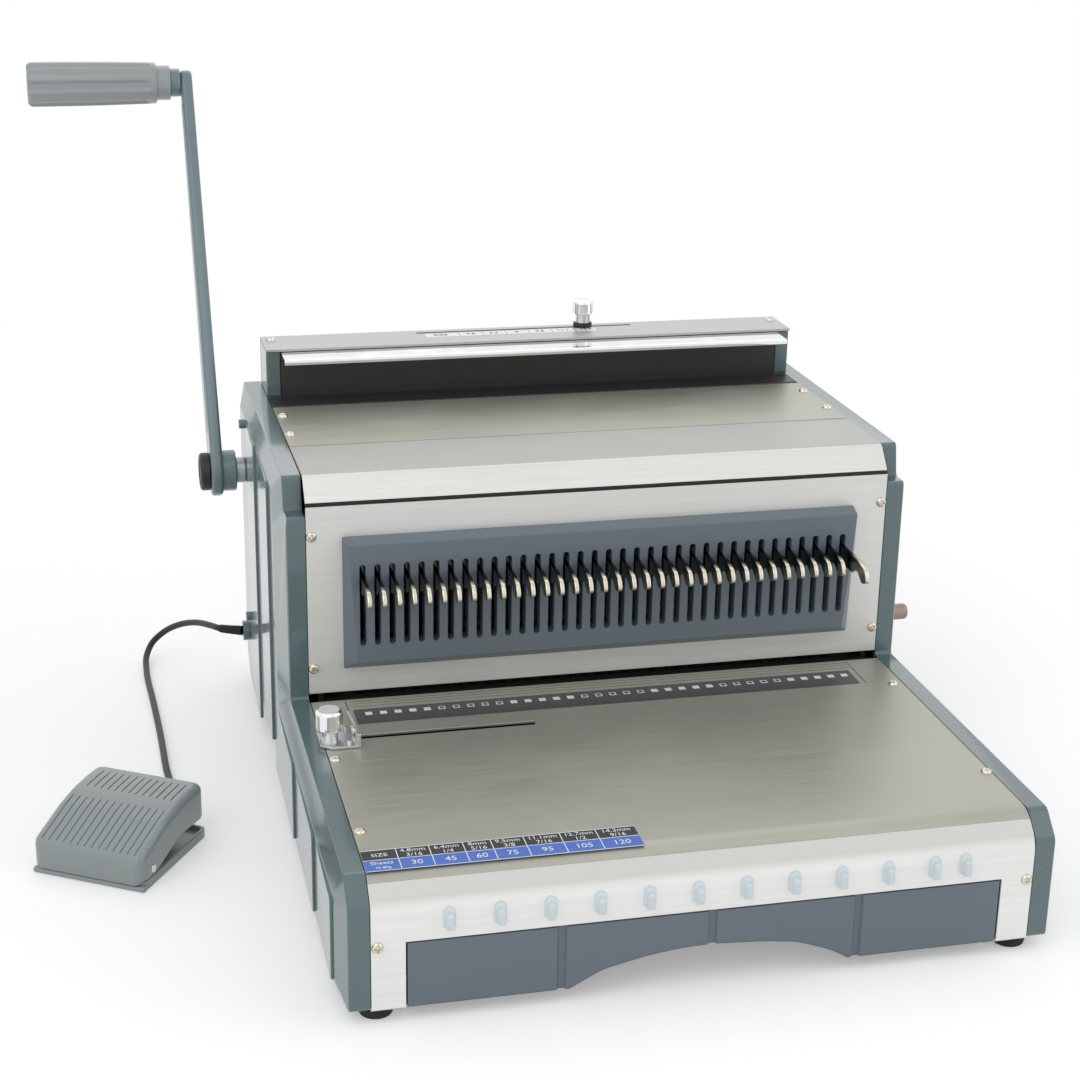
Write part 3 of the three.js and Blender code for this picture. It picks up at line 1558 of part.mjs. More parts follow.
// Pedal cord along the floor, from the pedal's gland to the gland on the left cover
const cordPoints = [
  [-251.8, 23.0, 2.9],
  [-250.0, 33.0, 2.3],
  [-250.6, 45.0, 2.2],
  [-252.6, 60.0, 2.2],
  [-254.0, 79.0, 2.2],
  [-254.3, 108.0, 2.2],
  [-254.5, 131.0, 2.2],
  [-255.2, 163.0, 2.2],
  [-256.2, 196.0, 2.2],
  [-257.2, 222.0, 2.2],
  [-257.2, 240.0, 2.9],
  [-256.0, 256.0, 6.2],
  [-251.0, 266.0, 12.0],
  [-242.0, 263.0, 21.0],
  [-231.0, 250.0, 30.5],
  [-221.5, 235.0, 36.5],
  [-214.0, 218.5, 40.4],
  [-207.5, 206.8, 42.2],
];
pedal.updateMatrix();
const glandEnd = new THREE.Vector3(cordU, glandBack[1] + gap, pedalCordZ).applyMatrix4(pedal.matrix);
const cordPath = new THREE.CatmullRomCurve3([
  glandEnd,
  ...cordPoints.map((point) => new THREE.Vector3(...point)),
  new THREE.Vector3(cordStartX - gap, cordExitY, cordExitZ),
]);
const cordSteps = Math.round(cordPath.getLength() / (5 * cordRadius));
put("pedal_cord", tube(cordPath, cordRadius, 8, cordSteps), blackPlastic);

// The part's origin is at the centre of its footprint, on the floor; the cord isn't counted
const extent = new THREE.Box3();
machine.updateMatrixWorld(true);
machine.traverse((node) => {
  if (node.isMesh && node.name !== "pedal_cord") extent.expandByObject(node);
});
machine.position.set(-(extent.min.x + extent.max.x) / 2, -(extent.min.y + extent.max.y) / 2, -extent.min.z);
const binder = new THREE.Group();
binder.add(machine);

export default binder;
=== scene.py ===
"""Looks of an electric wire binding machine with its foot pedal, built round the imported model.

Sizes are millimetres from the machine's datum: x = 0 at the middle of the silver panels, y = 0 at
the face of the front panel, z = 0 on the table that the machine stands on. The operator stands on
the -y side.
"""

import json
import logging
import math
from collections.abc import Mapping, Sequence
from dataclasses import dataclass
from enum import Enum

import bmesh
import bpy
import numpy as np
from mathutils import Matrix, Vector
from mathutils.geometry import tessellate_polygon

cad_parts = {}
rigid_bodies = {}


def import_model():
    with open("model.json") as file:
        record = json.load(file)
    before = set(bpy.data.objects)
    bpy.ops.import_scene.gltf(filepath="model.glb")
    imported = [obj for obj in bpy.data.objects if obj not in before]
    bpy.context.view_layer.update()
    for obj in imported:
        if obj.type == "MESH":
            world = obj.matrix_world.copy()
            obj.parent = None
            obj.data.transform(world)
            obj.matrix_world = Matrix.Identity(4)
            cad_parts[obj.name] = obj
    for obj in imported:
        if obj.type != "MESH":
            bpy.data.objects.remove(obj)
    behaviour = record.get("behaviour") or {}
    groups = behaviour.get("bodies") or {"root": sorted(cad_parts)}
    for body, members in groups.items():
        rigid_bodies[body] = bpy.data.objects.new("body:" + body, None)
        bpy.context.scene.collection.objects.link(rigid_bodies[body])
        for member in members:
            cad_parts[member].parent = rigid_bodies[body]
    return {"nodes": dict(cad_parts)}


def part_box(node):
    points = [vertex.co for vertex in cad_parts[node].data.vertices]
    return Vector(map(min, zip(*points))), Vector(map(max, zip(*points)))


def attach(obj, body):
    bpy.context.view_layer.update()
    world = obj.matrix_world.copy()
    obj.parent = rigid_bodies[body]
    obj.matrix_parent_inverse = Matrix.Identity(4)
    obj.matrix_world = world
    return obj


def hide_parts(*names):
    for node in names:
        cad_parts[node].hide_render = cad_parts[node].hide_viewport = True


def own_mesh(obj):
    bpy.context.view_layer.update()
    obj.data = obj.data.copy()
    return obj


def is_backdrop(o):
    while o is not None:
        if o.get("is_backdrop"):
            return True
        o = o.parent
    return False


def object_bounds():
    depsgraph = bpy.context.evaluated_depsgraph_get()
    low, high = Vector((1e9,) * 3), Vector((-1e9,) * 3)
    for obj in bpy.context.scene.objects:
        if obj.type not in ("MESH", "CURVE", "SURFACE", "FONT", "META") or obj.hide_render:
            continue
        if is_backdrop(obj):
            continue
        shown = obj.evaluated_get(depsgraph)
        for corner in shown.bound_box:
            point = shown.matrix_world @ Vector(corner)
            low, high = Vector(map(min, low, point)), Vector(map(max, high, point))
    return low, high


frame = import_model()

log = logging.getLogger("binder")
Array = np.ndarray
Span = tuple[float, float]
Spot = tuple[float, float, float]
Row = Sequence[float]
Rows = Sequence[Row]
Line = tuple[Span, ...]
Area = tuple[Span, Span]
Bar = tuple[Span, Span, Span]
Socket = bpy.types.NodeSocket
MM = 0.001
ROUND = 2 * math.pi
QUARTER = math.pi / 2
TINY = 1e-9
RING_SIDES = 48
PANEL_CORNER = np.array((-174.25, 0.0, 80.3))
DATUM = np.array(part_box("front_panel")[0]) / MM - PANEL_CORNER


class Axis(Enum):
    """The axis that an outline is carried along, and where its u, v and station go."""

    X = (1, 2, 0)
    Y = (0, 2, 1)
    Z = (0, 1, 2)


X, Y, Z = Axis


@dataclass(frozen=True)
class Surface:
    """Points in millimetres from the datum, and blocks of faces, each a table of point numbers."""

    points: Array
    faces: tuple[Array, ...]

    def moved(self, shift: Row) -> "Surface":
        """The surface shifted by a vector."""
        return Surface(self.points + np.asarray(shift, float), self.faces)

    def turned(self, turn: Matrix) -> "Surface":
        """The surface turned about the datum by a rotation matrix."""
        return Surface(self.points @ np.array(turn.to_3x3()).T, self.faces)

    def mirrored(self) -> "Surface":
        """The surface's mirror image in the plane x = 0, its faces still pointing out."""
        return Surface(self.points * (-1, 1, 1), self.flipped().faces)

    def flipped(self) -> "Surface":
        """The surface with its faces turned round."""
        return Surface(self.points, tuple(block[:, ::-1] for block in self.faces))


def joined(*parts: Surface) -> Surface:
    """Several surfaces as one: their points in a row, their face numbers raised to match."""
    starts = np.cumsum([0] + [len(part.points) for part in parts[:-1]])
    blocks = tuple(block + start for part, start in zip(parts, starts) for block in part.faces)
    return Surface(np.concatenate([part.points for part in parts]), blocks)


def grid_faces(rows: int, columns: int, closed: bool = False) -> Array:
    """Quads between neighbouring rows of a grid.

    Args:
        rows: The number of rows of points.
        columns: The number of points in each row.
        closed: Whether the last point of a row joins the first.

    Returns:
        A table of four point numbers for each quad, wound so that a row that runs
        counter-clockwise and climbs faces outwards.
    """
    starts = np.arange(columns if closed else columns - 1)
    row, column = np.meshgrid(np.arange(rows - 1), starts, indexing="ij")
    following = (column + 1) % columns
    corners = (row * columns + column, row * columns + following)
    upper = (corners[1] + columns, corners[0] + columns)
    return np.stack([*corners, *upper], axis=-1).reshape(-1, 4)


def skin(points: Array, closed: bool = False) -> Surface:
    """A skin over a grid of points (rows, columns, 3), whose rows may be closed."""
    return Surface(points.reshape(-1, 3), (grid_faces(*points.shape[:2], closed),))


def loops(rings: Array, caps: tuple[bool, bool] = (True, True)) -> Surface:
    """A skin over a stack of closed rings, with a flat face over each end that is asked for."""
    numbers = np.arange(rings.shape[0] * rings.shape[1]).reshape(rings.shape[:2])
    ends = [numbers[:1, ::-1]] * caps[0] + [numbers[-1:]] * caps[1]
    return Surface(rings.reshape(-1, 3), (*skin(rings, closed=True).faces, *ends))


def placed(outline: Array, station: Array | float, axis: Axis) -> Array:
    """Points of an outline (..., 2) set at a station along an axis, as (..., 3)."""
    points = np.empty((*outline.shape[:-1], 3))
    for source, target in zip((outline[..., 0], outline[..., 1], station), axis.value):
        points[..., target] = source
    return points


def lofted(rings: Sequence[tuple[Array, float]], axis: Axis,
           caps: tuple[bool, bool] = (True, True)) -> Surface:
    """A skin through outlines of equal count, each set at its station along an axis."""
    return loops(np.array([placed(outline, station, axis) for outline, station in rings]), caps)


def counterclockwise(outline: Array) -> Array:
    """The outline, reversed if its shoelace area is negative."""
    following = np.roll(outline, -1, axis=0)
    area = np.sum(outline[:, 0] * following[:, 1] - following[:, 0] * outline[:, 1])
    return outline if area > 0 else outline[::-1]


def unit(vectors: Array) -> Array:
    """Vectors over their lengths, along the last axis."""
    return vectors / np.maximum(np.linalg.norm(vectors, axis=-1, keepdims=True), TINY)


def drawn_in(outline: Array, distance: float) -> Array:
    """A counter-clockwise outline moved inwards.

    Each point goes along the bisector of its two edges' normals, by the distance over the cosine
    of half the turn, at most three times the distance.
    """
    into = unit(outline - np.roll(outline, 1, axis=0))
    out = unit(np.roll(outline, -1, axis=0) - outline)
    inward = unit(np.stack([-(into[:, 1] + out[:, 1]), into[:, 0] + out[:, 0]], axis=1))
    normal = np.stack([-into[:, 1], into[:, 0]], axis=1)
    share = np.sum(inward * normal, axis=1, keepdims=True)
    return outline + inward * distance / np.maximum(share, 1 / 3)


def cup(outline: Array, stations: Sequence[Span], axis: Axis = Z) -> Surface:
    """A skin through rings of one outline, each at a station and drawn in by its inset."""
    return lofted([(drawn_in(outline, inset), station) for station, inset in stations], axis)


def softened(corners: Rows, reach: float | Row, steps: int = 4,
             closed: bool = True) -> Array:
    """A polyline with each corner rounded.

    A corner C gives way to the parabola (1-t)^2 A + 2t(1-t) C + t^2 B, where A and B lie on the
    two edges at the reach from C, or at 45% of the edge where that is shorter.

    Args:
        corners: The polyline's corners, of two or three numbers each.
        reach: How far from each corner the rounding starts, one number or one for each corner.
        steps: The number of pieces that each rounding has.
        closed: Whether the last corner joins the first.

    Returns:
        The rounded polyline's points.
    """
    corner = np.asarray(corners, float)
    wanted = np.broadcast_to(np.reshape(reach, (-1, 1)), (len(corner), 1))
    ends = []
    for step in (1, -1):
        edge = np.roll(corner, step, axis=0) - corner
        length = np.linalg.norm(edge, axis=1, keepdims=True)
        ends.append((corner + edge / length * np.minimum(wanted, 0.45 * length))[:, None])
    t = np.linspace(0, 1, steps + 1)[None, :, None]
    rounds = (1 - t) ** 2 * ends[0] + 2 * t * (1 - t) * corner[:, None] + t**2 * ends[1]
    if closed:
        return rounds.reshape(-1, corner.shape[1])
    middle = rounds[1:-1].reshape(-1, corner.shape[1])
    return np.concatenate([corner[:1], middle, corner[-1:]])


def headings(count: int) -> Array:
    """Even angles round a full turn, from nought."""
    return np.arange(count) * ROUND / count


def radial(radius: float | Array, angle: Array) -> Array:
    """Points radius (cos a, sin a), one for each angle."""
    return np.stack([radius * np.cos(angle), radius * np.sin(angle)], axis=-1)


def quarter(rim: float, steps: int = 3) -> tuple[Array, Array]:
    """The insets rim (1 - sin a) and lifts rim (1 - cos a) of a rolled rim, over a quarter turn."""
    angle = np.linspace(0, QUARTER, steps + 1)
    return rim * (1 - np.sin(angle)), rim * (1 - np.cos(angle))


def about(middle: float, half: float) -> Span:
    """The span about a middle."""
    return middle - half, middle + half


def circle(centre: Row, radius: float, count: int = 32) -> Array:
    """Points round a circle, counter-clockwise."""
    return np.asarray(centre) + radial(radius, headings(count))


def capsule(first: Row, first_radius: float, second: Row,
            second_radius: float, steps: int = 12) -> Array:
    """The outline round two circles: a half turn about each centre, facing away from the other."""
    start, end = np.asarray(first, float), np.asarray(second, float)
    sweep = math.atan2(*(end - start)[::-1]) + np.linspace(QUARTER, 3 * QUARTER, steps + 1)
    return np.concatenate([start + radial(first_radius, sweep), end - radial(second_radius, sweep)])


def box_outline(u: Span, v: Span, reach: float = 0.0, steps: int = 4) -> Array:
    """A rectangle by its limits, counter-clockwise, its corners rounded if the reach isn't zero."""
    corners = [(u[0], v[0]), (u[1], v[0]), (u[1], v[1]), (u[0], v[1])]
    return softened(corners, reach, steps) if reach else np.array(corners, float)


def slab(outline: Array, axis: Axis, span: Span, rim: float = 0.5, steps: int = 3) -> Surface:
    """An outline carried along an axis, its two rims rolled over.

    A rim's rings lie at the lifts of a quarter turn from the end, drawn in by its insets.

    Args:
        outline: The closed outline's points, u and v.
        axis: The axis that it is carried along.
        span: The two stations on the axis, the lower first.
        rim: The radius of the rims.
        steps: The number of pieces in each rim.

    Returns:
        The closed surface.
    """
    points = counterclockwise(np.asarray(outline, float))
    rims = list(zip(*quarter(rim, steps)))
    lower = [(drawn_in(points, inset), span[0] + lift) for inset, lift in rims]
    upper = [(drawn_in(points, inset), span[1] - lift) for inset, lift in rims]
    made = lofted(lower + upper[::-1], axis)
    return made.flipped() if axis is Y else made


def block(x: Span, y: Span, z: Span, rim: float = 0.5, corner: float = 0.0) -> Surface:
    """A bar with rounded rims by its limits, carried along its longest side."""
    spans = (x, y, z)
    longest = int(np.argmax([high - low for low, high in spans]))
    axis = (X, Y, Z)[longest]
    u, v = (spans[i] for i in axis.value[:2])
    return slab(box_outline(u, v, max(corner, rim), 3), axis, spans[longest], rim)


def fan(ring_points: Array, tip: Array) -> Surface:
    """Triangles from each side of a ring of points to a tip."""
    numbers = np.arange(len(ring_points))
    sides = [numbers, np.roll(numbers, -1), np.full_like(numbers, len(numbers))]
    return Surface(np.concatenate([ring_points, tip]), (np.stack(sides, axis=1),))


def revolved(profile: Rows, axis: Axis, centre: Row,
             sides: int = RING_SIDES, wave: float | Array = 0.0) -> Surface:
    """A profile of (radius, station) turned about an axis: centre + radius (cos a, sin a).

    Args:
        profile: The radii and stations, the stations climbing where the skin faces outwards.
        axis: The axis that it turns about.
        centre: The axis's u and v.
        sides: The number of points round it.
        wave: What is taken from the radius at each profile point and each side, if it is fluted.

    Returns:
        The surface, each end closed by a flat face, or by a fan where the radius there is zero.
    """
    radius, station = np.asarray(profile, float).T
    reach = radius[:, None] - np.broadcast_to(wave, (len(radius), sides))
    outline = radial(reach, headings(sides)) + np.asarray(centre, float)
    rings = placed(outline, np.broadcast_to(station[:, None], reach.shape), axis)
    pole_low, pole_high = (bool(end < 1e-6) for end in (radius[0], radius[-1]))
    kept = rings[int(pole_low):len(rings) - int(pole_high)]
    parts = [loops(kept, (not pole_low, not pole_high))]
    if pole_low:
        parts.append(fan(kept[0][::-1], rings[0, :1]))
    if pole_high:
        parts.append(fan(kept[-1], rings[-1, :1]))
    made = joined(*parts)
    return made.flipped() if axis is Y else made


def flutes(profile: Rows, span: Span, depth: float, count: int,
           sides: int) -> Array:
    """What upright flutes take from a profile's radius: depth (1 + cos(n a)) / 2 within a span."""
    station = np.asarray(profile)[:, 1]
    within = ((station > span[0]) & (station < span[1]))[:, None]
    return within * depth * (0.5 + 0.5 * np.cos(count * headings(sides)))[None, :]


def rod(axis: Axis, centre: Row, radius: float, span: Span, rim: float = 0.4,
        sides: int = 32) -> Surface:
    """A round bar whose end edges are rolled over by quarter arcs."""
    insets, lifts = quarter(rim)
    lower = np.stack([radius - insets, span[0] + lifts], axis=1)
    upper = np.stack([radius - insets, span[1] - lifts], axis=1)[::-1]
    return revolved(np.concatenate([lower, upper]), axis, centre, sides)


def ring(axis: Axis, centre: Row, outer: float, inner: float, span: Span,
         rim: float = 0.4) -> Surface:
    """A round ring: its section, a rectangle with rounded corners, turned about the axis."""
    section = box_outline((inner, outer), span, rim, 3)
    radius, station = np.concatenate([section, section[:1]]).T
    outline = radial(radius[:, None], headings(RING_SIDES)) + np.asarray(centre, float)
    made = skin(placed(outline, np.broadcast_to(station[:, None], outline.shape[:2]), axis), True)
    return made.flipped() if axis is Y else made


def sheet(across: Row, profile: Array,
          gone: Sequence[Bar] = ()) -> Surface:
    """A folded sheet: the profile of (y, z) repeated at each x, with cells left out.

    Args:
        across: The x of each line of points.
        profile: The folded line, running so that the outside is on its left seen from +x.
        gone: Boxes of x, y and z limits whose cells, by their middles, are left out.

    Returns:
        The open sheet, facing outwards.
    """
    x = np.unique(np.round(np.asarray(across, float), 4))
    points = np.empty((len(profile), len(x), 3))
    points[..., 0] = x
    points[..., 1:] = profile[:, None]
    made = skin(points).flipped()
    cells = made.faces[0]
    middle = made.points[cells].mean(axis=1)
    kept = np.ones(len(cells), bool)
    for limits in gone:
        low, high = np.array(limits).T
        kept &= ~np.all((middle > low) & (middle < high), axis=1)
    return Surface(made.points, (cells[kept],))


def with_lines(profile: Array, column: int, values: Row) -> Array:
    """A polyline with points added where one of its coordinates passes given values."""
    made = np.asarray(profile, float)
    for value in values:
        start, end = made[:-1, column], made[1:, column]
        crossed = np.flatnonzero((start - value) * (end - value) < 0)
        if len(crossed):
            i = crossed[0]
            share = (value - start[i]) / (end[i] - start[i])
            made = np.insert(made, i + 1, made[i] + share * (made[i + 1] - made[i]), axis=0)
    return made


def pierced(outline: Array, holes: Sequence[Array], station: float, axis: Axis,
            up: bool) -> Surface:
    """A flat face between an outline and its holes, cut into triangles.

    Args:
        outline: The outer points.
        holes: The points of each hole.
        station: Where the face lies on the axis.
        axis: The axis that the face is square to.
        up: Whether it faces up the axis.

    Returns:
        The face.
    """
    rings = [outline, *holes]
    points = placed(np.concatenate(rings), station, axis)
    flat = [[Vector((*point, 0.0)) for point in ring_points] for ring_points in rings]
    triangles = np.array(tessellate_polygon(flat))
    corner = points[triangles]
    normal = np.cross(corner[:, 1] - corner[:, 0], corner[:, 2] - corner[:, 0])[:, axis.value[2]]
    wrong = (normal > 0) != up
    triangles[wrong] = triangles[wrong][:, ::-1]
    return Surface(points, (triangles,))


def along(points: Array, count: int) -> Array:
    """Even samples of the centripetal Catmull-Rom curve through points.

    Between P1 and P2 the curve is the cubic with the tangents that the points before and after
    give, where the knots are spaced by the square root of the distance between the points.

    Args:
        points: The points that the curve passes.
        count: The number of samples.

    Returns:
        The samples, evenly spaced by length.
    """
    padded = np.concatenate([[2 * points[0] - points[1]], points, [2 * points[-1] - points[-2]]])
    p0, p1, p2, p3 = padded[:-3], padded[1:-2], padded[2:-1], padded[3:]
    d0, d1, d2 = (np.sqrt(np.linalg.norm(b - a, axis=1, keepdims=True))
                  for a, b in ((p0, p1), (p1, p2), (p2, p3)))
    m1 = ((p1 - p0) / d0 - (p2 - p0) / (d0 + d1) + (p2 - p1) / d1) * d1
    m2 = ((p2 - p1) / d1 - (p3 - p1) / (d1 + d2) + (p3 - p2) / d2) * d1
    t = np.linspace(0, 1, 40, endpoint=False)[None, :, None]
    p1, p2, m1, m2 = (a[:, None] for a in (p1, p2, m1, m2))
    curve = ((2 * t**3 - 3 * t**2 + 1) * p1 + (t**3 - 2 * t**2 + t) * m1
             + (3 * t**2 - 2 * t**3) * p2 + (t**3 - t**2) * m2)
    dense = np.concatenate([curve.reshape(-1, 3), points[-1:]])
    steps = np.linalg.norm(np.diff(dense, axis=0), axis=1)
    length = np.concatenate([[0], np.cumsum(steps)])
    stations = np.linspace(0, length[-1], count)
    return np.stack([np.interp(stations, length, dense[:, i]) for i in range(3)], axis=1)


def tube(path: Array, radii: float | Array, sides: int = 16) -> Surface:
    """A round skin round a path: at each point a circle square to the path.

    The circle's first direction is level, the cross product of the path's direction and straight
    up, so the path is never upright.

    Args:
        path: The centre line's points.
        radii: The radius, one number or one for each point.
        sides: The number of points round it.

    Returns:
        The closed tube.
    """
    direction = unit(np.gradient(path, axis=0))
    level = unit(np.cross(direction, (0, 0, 1)))
    across = np.cross(level, direction)
    angle = headings(sides)[None, :, None]
    reach = np.broadcast_to(np.reshape(radii, (-1, 1, 1)), (len(path), 1, 1))
    circles = np.cos(angle) * level[:, None] - np.sin(angle) * across[:, None]
    return loops(path[:, None] + reach * circles)


def lettering(words: str, size: float, place: Row) -> Surface:
    """Words as thin raised letters lying face up, centred on a place.

    Args:
        words: What is written.
        size: The height of the letters' body.
        place: The middle of the words.

    Returns:
        The letters, each a closed plate.
    """
    curve = bpy.data.curves.new("letters", "FONT")
    curve.body, curve.size, curve.extrude, curve.resolution_u = words, size, 0.04, 3
    curve.align_x, curve.align_y = "CENTER", "CENTER"
    holder = bpy.data.objects.new("letters", curve)
    bpy.context.scene.collection.objects.link(holder)
    bpy.context.view_layer.update()
    shape = holder.evaluated_get(bpy.context.evaluated_depsgraph_get())
    mesh = bpy.data.meshes.new_from_object(shape)
    bpy.data.objects.remove(holder)
    mesh.calc_loop_triangles()
    points = np.empty(len(mesh.vertices) * 3)
    triangles = np.empty(len(mesh.loop_triangles) * 3, int)
    mesh.vertices.foreach_get("co", points)
    mesh.loop_triangles.foreach_get("vertices", triangles)
    bpy.data.meshes.remove(mesh)
    return Surface(points.reshape(-1, 3), (triangles.reshape(-1, 3),)).moved(place)


class Grain(Enum):
    """The kinds of surface texture on the machine."""

    SATIN_SHEET = "satin sheet, drawn lengthwise"
    GROUND = "ground steel"
    POLISHED = "polished plating"
    MOULDED = "moulded plastic with a fine spark texture"
    PAINTED = "painted sheet"
    RUBBER = "soft rubber"
    PRINTED = "printed film"
    CAST = "cast metal"


@dataclass(frozen=True)
class GrainSizes:
    """A texture's repeats per metre on each axis, and how far it sways colour, gloss and height."""

    repeats: Spot
    detail: float
    colour_sway: float
    gloss_sway: float
    height: float


GRAINS = {
    Grain.SATIN_SHEET: GrainSizes((18.0, 620.0, 620.0), 3.0, 0.035, 0.06, 0.000012),
    Grain.GROUND: GrainSizes((900.0, 60.0, 900.0), 3.0, 0.06, 0.08, 0.00002),
    Grain.POLISHED: GrainSizes((55.0, 55.0, 55.0), 4.0, 0.02, 0.05, 0.000004),
    Grain.MOULDED: GrainSizes((900.0, 900.0, 900.0), 2.0, 0.01, 0.015, 0.000002),
    Grain.PAINTED: GrainSizes((420.0, 420.0, 420.0), 3.0, 0.03, 0.05, 0.00002),
    Grain.RUBBER: GrainSizes((700.0, 700.0, 700.0), 3.0, 0.08, 0.06, 0.00004),
    Grain.PRINTED: GrainSizes((300.0, 300.0, 300.0), 2.0, 0.02, 0.04, 0.000005),
    Grain.CAST: GrainSizes((380.0, 380.0, 380.0), 4.0, 0.05, 0.1, 0.00006),
}
PATCH_REPEATS: Spot = (11.0, 14.0, 12.0)
PATCH_DETAIL = 3.0
PATCH_GLOSS = 0.03
COAT_ROUGHNESS = 0.08
BUMP_STRENGTH = 0.6
NOISE_MIDDLE: Span = (0.3, 0.7)
LEAST_ROUGHNESS = 0.02


def linear(colour: int) -> tuple[float, ...]:
    """A colour written as 0xRRGGBB in linear light, by the sRGB curve."""
    parts = np.array([(colour >> 16) & 255, (colour >> 8) & 255, colour & 255]) / 255
    lit = np.where(parts <= 0.04045, parts / 12.92, ((parts + 0.055) / 1.055) ** 2.4)
    return (*lit.tolist(), 1.0)


@dataclass(frozen=True)
class Nodes:
    """A node tree, with short ways to add the nodes that the finishes and the studio share."""

    tree: bpy.types.NodeTree

    def add(self, kind: str, inputs: Mapping[str | int, object] | None = None,
            **settings: object) -> bpy.types.Node:
        """Adds a node.

        Args:
            kind: The node's type, without "ShaderNode" before it.
            inputs: For an input's name or number, the socket that it is linked to or its value.
            settings: The node's own properties.

        Returns:
            The node.
        """
        node = self.tree.nodes.new(f"ShaderNode{kind}")
        for name, value in settings.items():
            setattr(node, name, value)
        for name, value in (inputs or {}).items():
            if isinstance(value, Socket):
                self.tree.links.new(value, node.inputs[name])
            else:
                node.inputs[name].default_value = value
        return node

    def place(self) -> Socket:
        """The object's own coordinates."""
        return self.add("TexCoord").outputs["Object"]

    def noise(self, place: Socket, repeats: Spot, detail: float) -> Socket:
        """A noise whose repeats per metre differ along the three axes."""
        mapping = self.add("Mapping", {"Vector": place, "Scale": repeats})
        inputs = {"Vector": mapping.outputs["Vector"], "Scale": 1.0, "Detail": detail}
        return self.add("TexNoise", inputs).outputs["Fac"]

    def ramp(self, source: Socket, low: Array, high: Array) -> Socket:
        """A colour that runs from low to high over the middle of a noise."""
        node = self.add("ValToRGB", {"Fac": source})
        for stop, at, colour in zip(node.color_ramp.elements, NOISE_MIDDLE, (low, high)):
            stop.position, stop.color = at, (*colour.tolist(), 1.0)
        return node.outputs["Color"]

    def spread(self, source: Socket, start: Span, end: Span,
               **settings: object) -> Socket:
        """A number that runs over the second span while the source runs over the first."""
        names = ("From Min", "From Max", "To Min", "To Max")
        inputs = {"Value": source, **dict(zip(names, (*start, *end)))}
        return self.add("MapRange", inputs, **settings).outputs["Result"]


@dataclass(frozen=True)
class PaintedShade:
    """Painted shade: a darker colour that takes over along the machine's depth, between two places.
    """

    bright_y: float
    dark_y: float
    colour: int

    def blend(self, nodes: Nodes, place: Socket,
              bright: Socket) -> Socket:
        """The bright colour, passing softly into the painted shade between the two places."""
        depth = nodes.add("SeparateXYZ", {0: place}).outputs["Y"]
        places = tuple((y + DATUM[1]) * MM for y in (self.bright_y, self.dark_y))
        share = nodes.spread(depth, places, (0.0, 1.0), interpolation_type="SMOOTHSTEP")
        colours = {0: share, 6: bright, 7: linear(self.colour)}
        return nodes.add("Mix", colours, data_type="RGBA").outputs[2]


@dataclass(frozen=True)
class Finish:
    """One surface finish: its name, the record's slot that it stands for, and its look."""

    name: str
    slot: str
    colour: int
    roughness: float
    metallic: float
    grain: Grain
    coat: float = 0.0
    patches: float = 0.04
    painted_shade: PaintedShade | None = None

    def material(self) -> bpy.types.Material:
        """The finish's material, made once."""
        return bpy.data.materials.get(self.name) or self._made()

    def _made(self) -> bpy.types.Material:
        """A fine noise sways colour, gloss and height, wide patches sway the first two, and a
        painted shade may darken the colour along the depth.
        """
        sizes = GRAINS[self.grain]
        material = bpy.data.materials.new(self.name)
        material.use_nodes = True
        material.node_tree.nodes.clear()
        nodes = Nodes(material.node_tree)
        place = nodes.place()
        fine = nodes.noise(place, sizes.repeats, sizes.detail)
        wide = nodes.noise(place, PATCH_REPEATS, PATCH_DETAIL)
        base = np.array(linear(self.colour)[:3])
        tints = base * (1 - sizes.colour_sway), np.minimum(base * (1 + sizes.colour_sway), 1)
        shade = nodes.ramp(wide, np.full(3, 1 - self.patches), np.ones(3))
        layers = {0: 1.0, 6: nodes.ramp(fine, *tints), 7: shade}
        colour = nodes.add("Mix", layers, data_type="RGBA", blend_type="MULTIPLY").outputs[2]
        # Painted shade: a darker colour takes over along the depth where the finish has one.
        if self.painted_shade is not None:
            colour = self.painted_shade.blend(nodes, place, colour)
        low, high = self.roughness - sizes.gloss_sway, self.roughness + sizes.gloss_sway
        parts = {0: nodes.spread(fine, NOISE_MIDDLE, (max(low, LEAST_ROUGHNESS), high)),
                 1: nodes.spread(wide, NOISE_MIDDLE, (-PATCH_GLOSS, PATCH_GLOSS))}
        gloss = nodes.add("Math", parts, operation="ADD", use_clamp=True).outputs[0]
        relief = {"Strength": BUMP_STRENGTH, "Distance": sizes.height, "Height": fine}
        shader = nodes.add("BsdfPrincipled", {
            "Base Color": colour, "Metallic": self.metallic, "Roughness": gloss,
            "Coat Weight": self.coat, "Coat Roughness": COAT_ROUGHNESS,
            "Normal": nodes.add("Bump", relief).outputs["Normal"],
        })
        nodes.add("OutputMaterial", {"Surface": shader.outputs["BSDF"]})
        return material


SILVERS, STEELS, SLATES, BLACKS = "silver_sheet", "machined_steel", "slate_plastic", "black_plastic"
SATIN, FILM, MOULD, SHINE = Grain.SATIN_SHEET, Grain.PRINTED, Grain.MOULDED, Grain.POLISHED


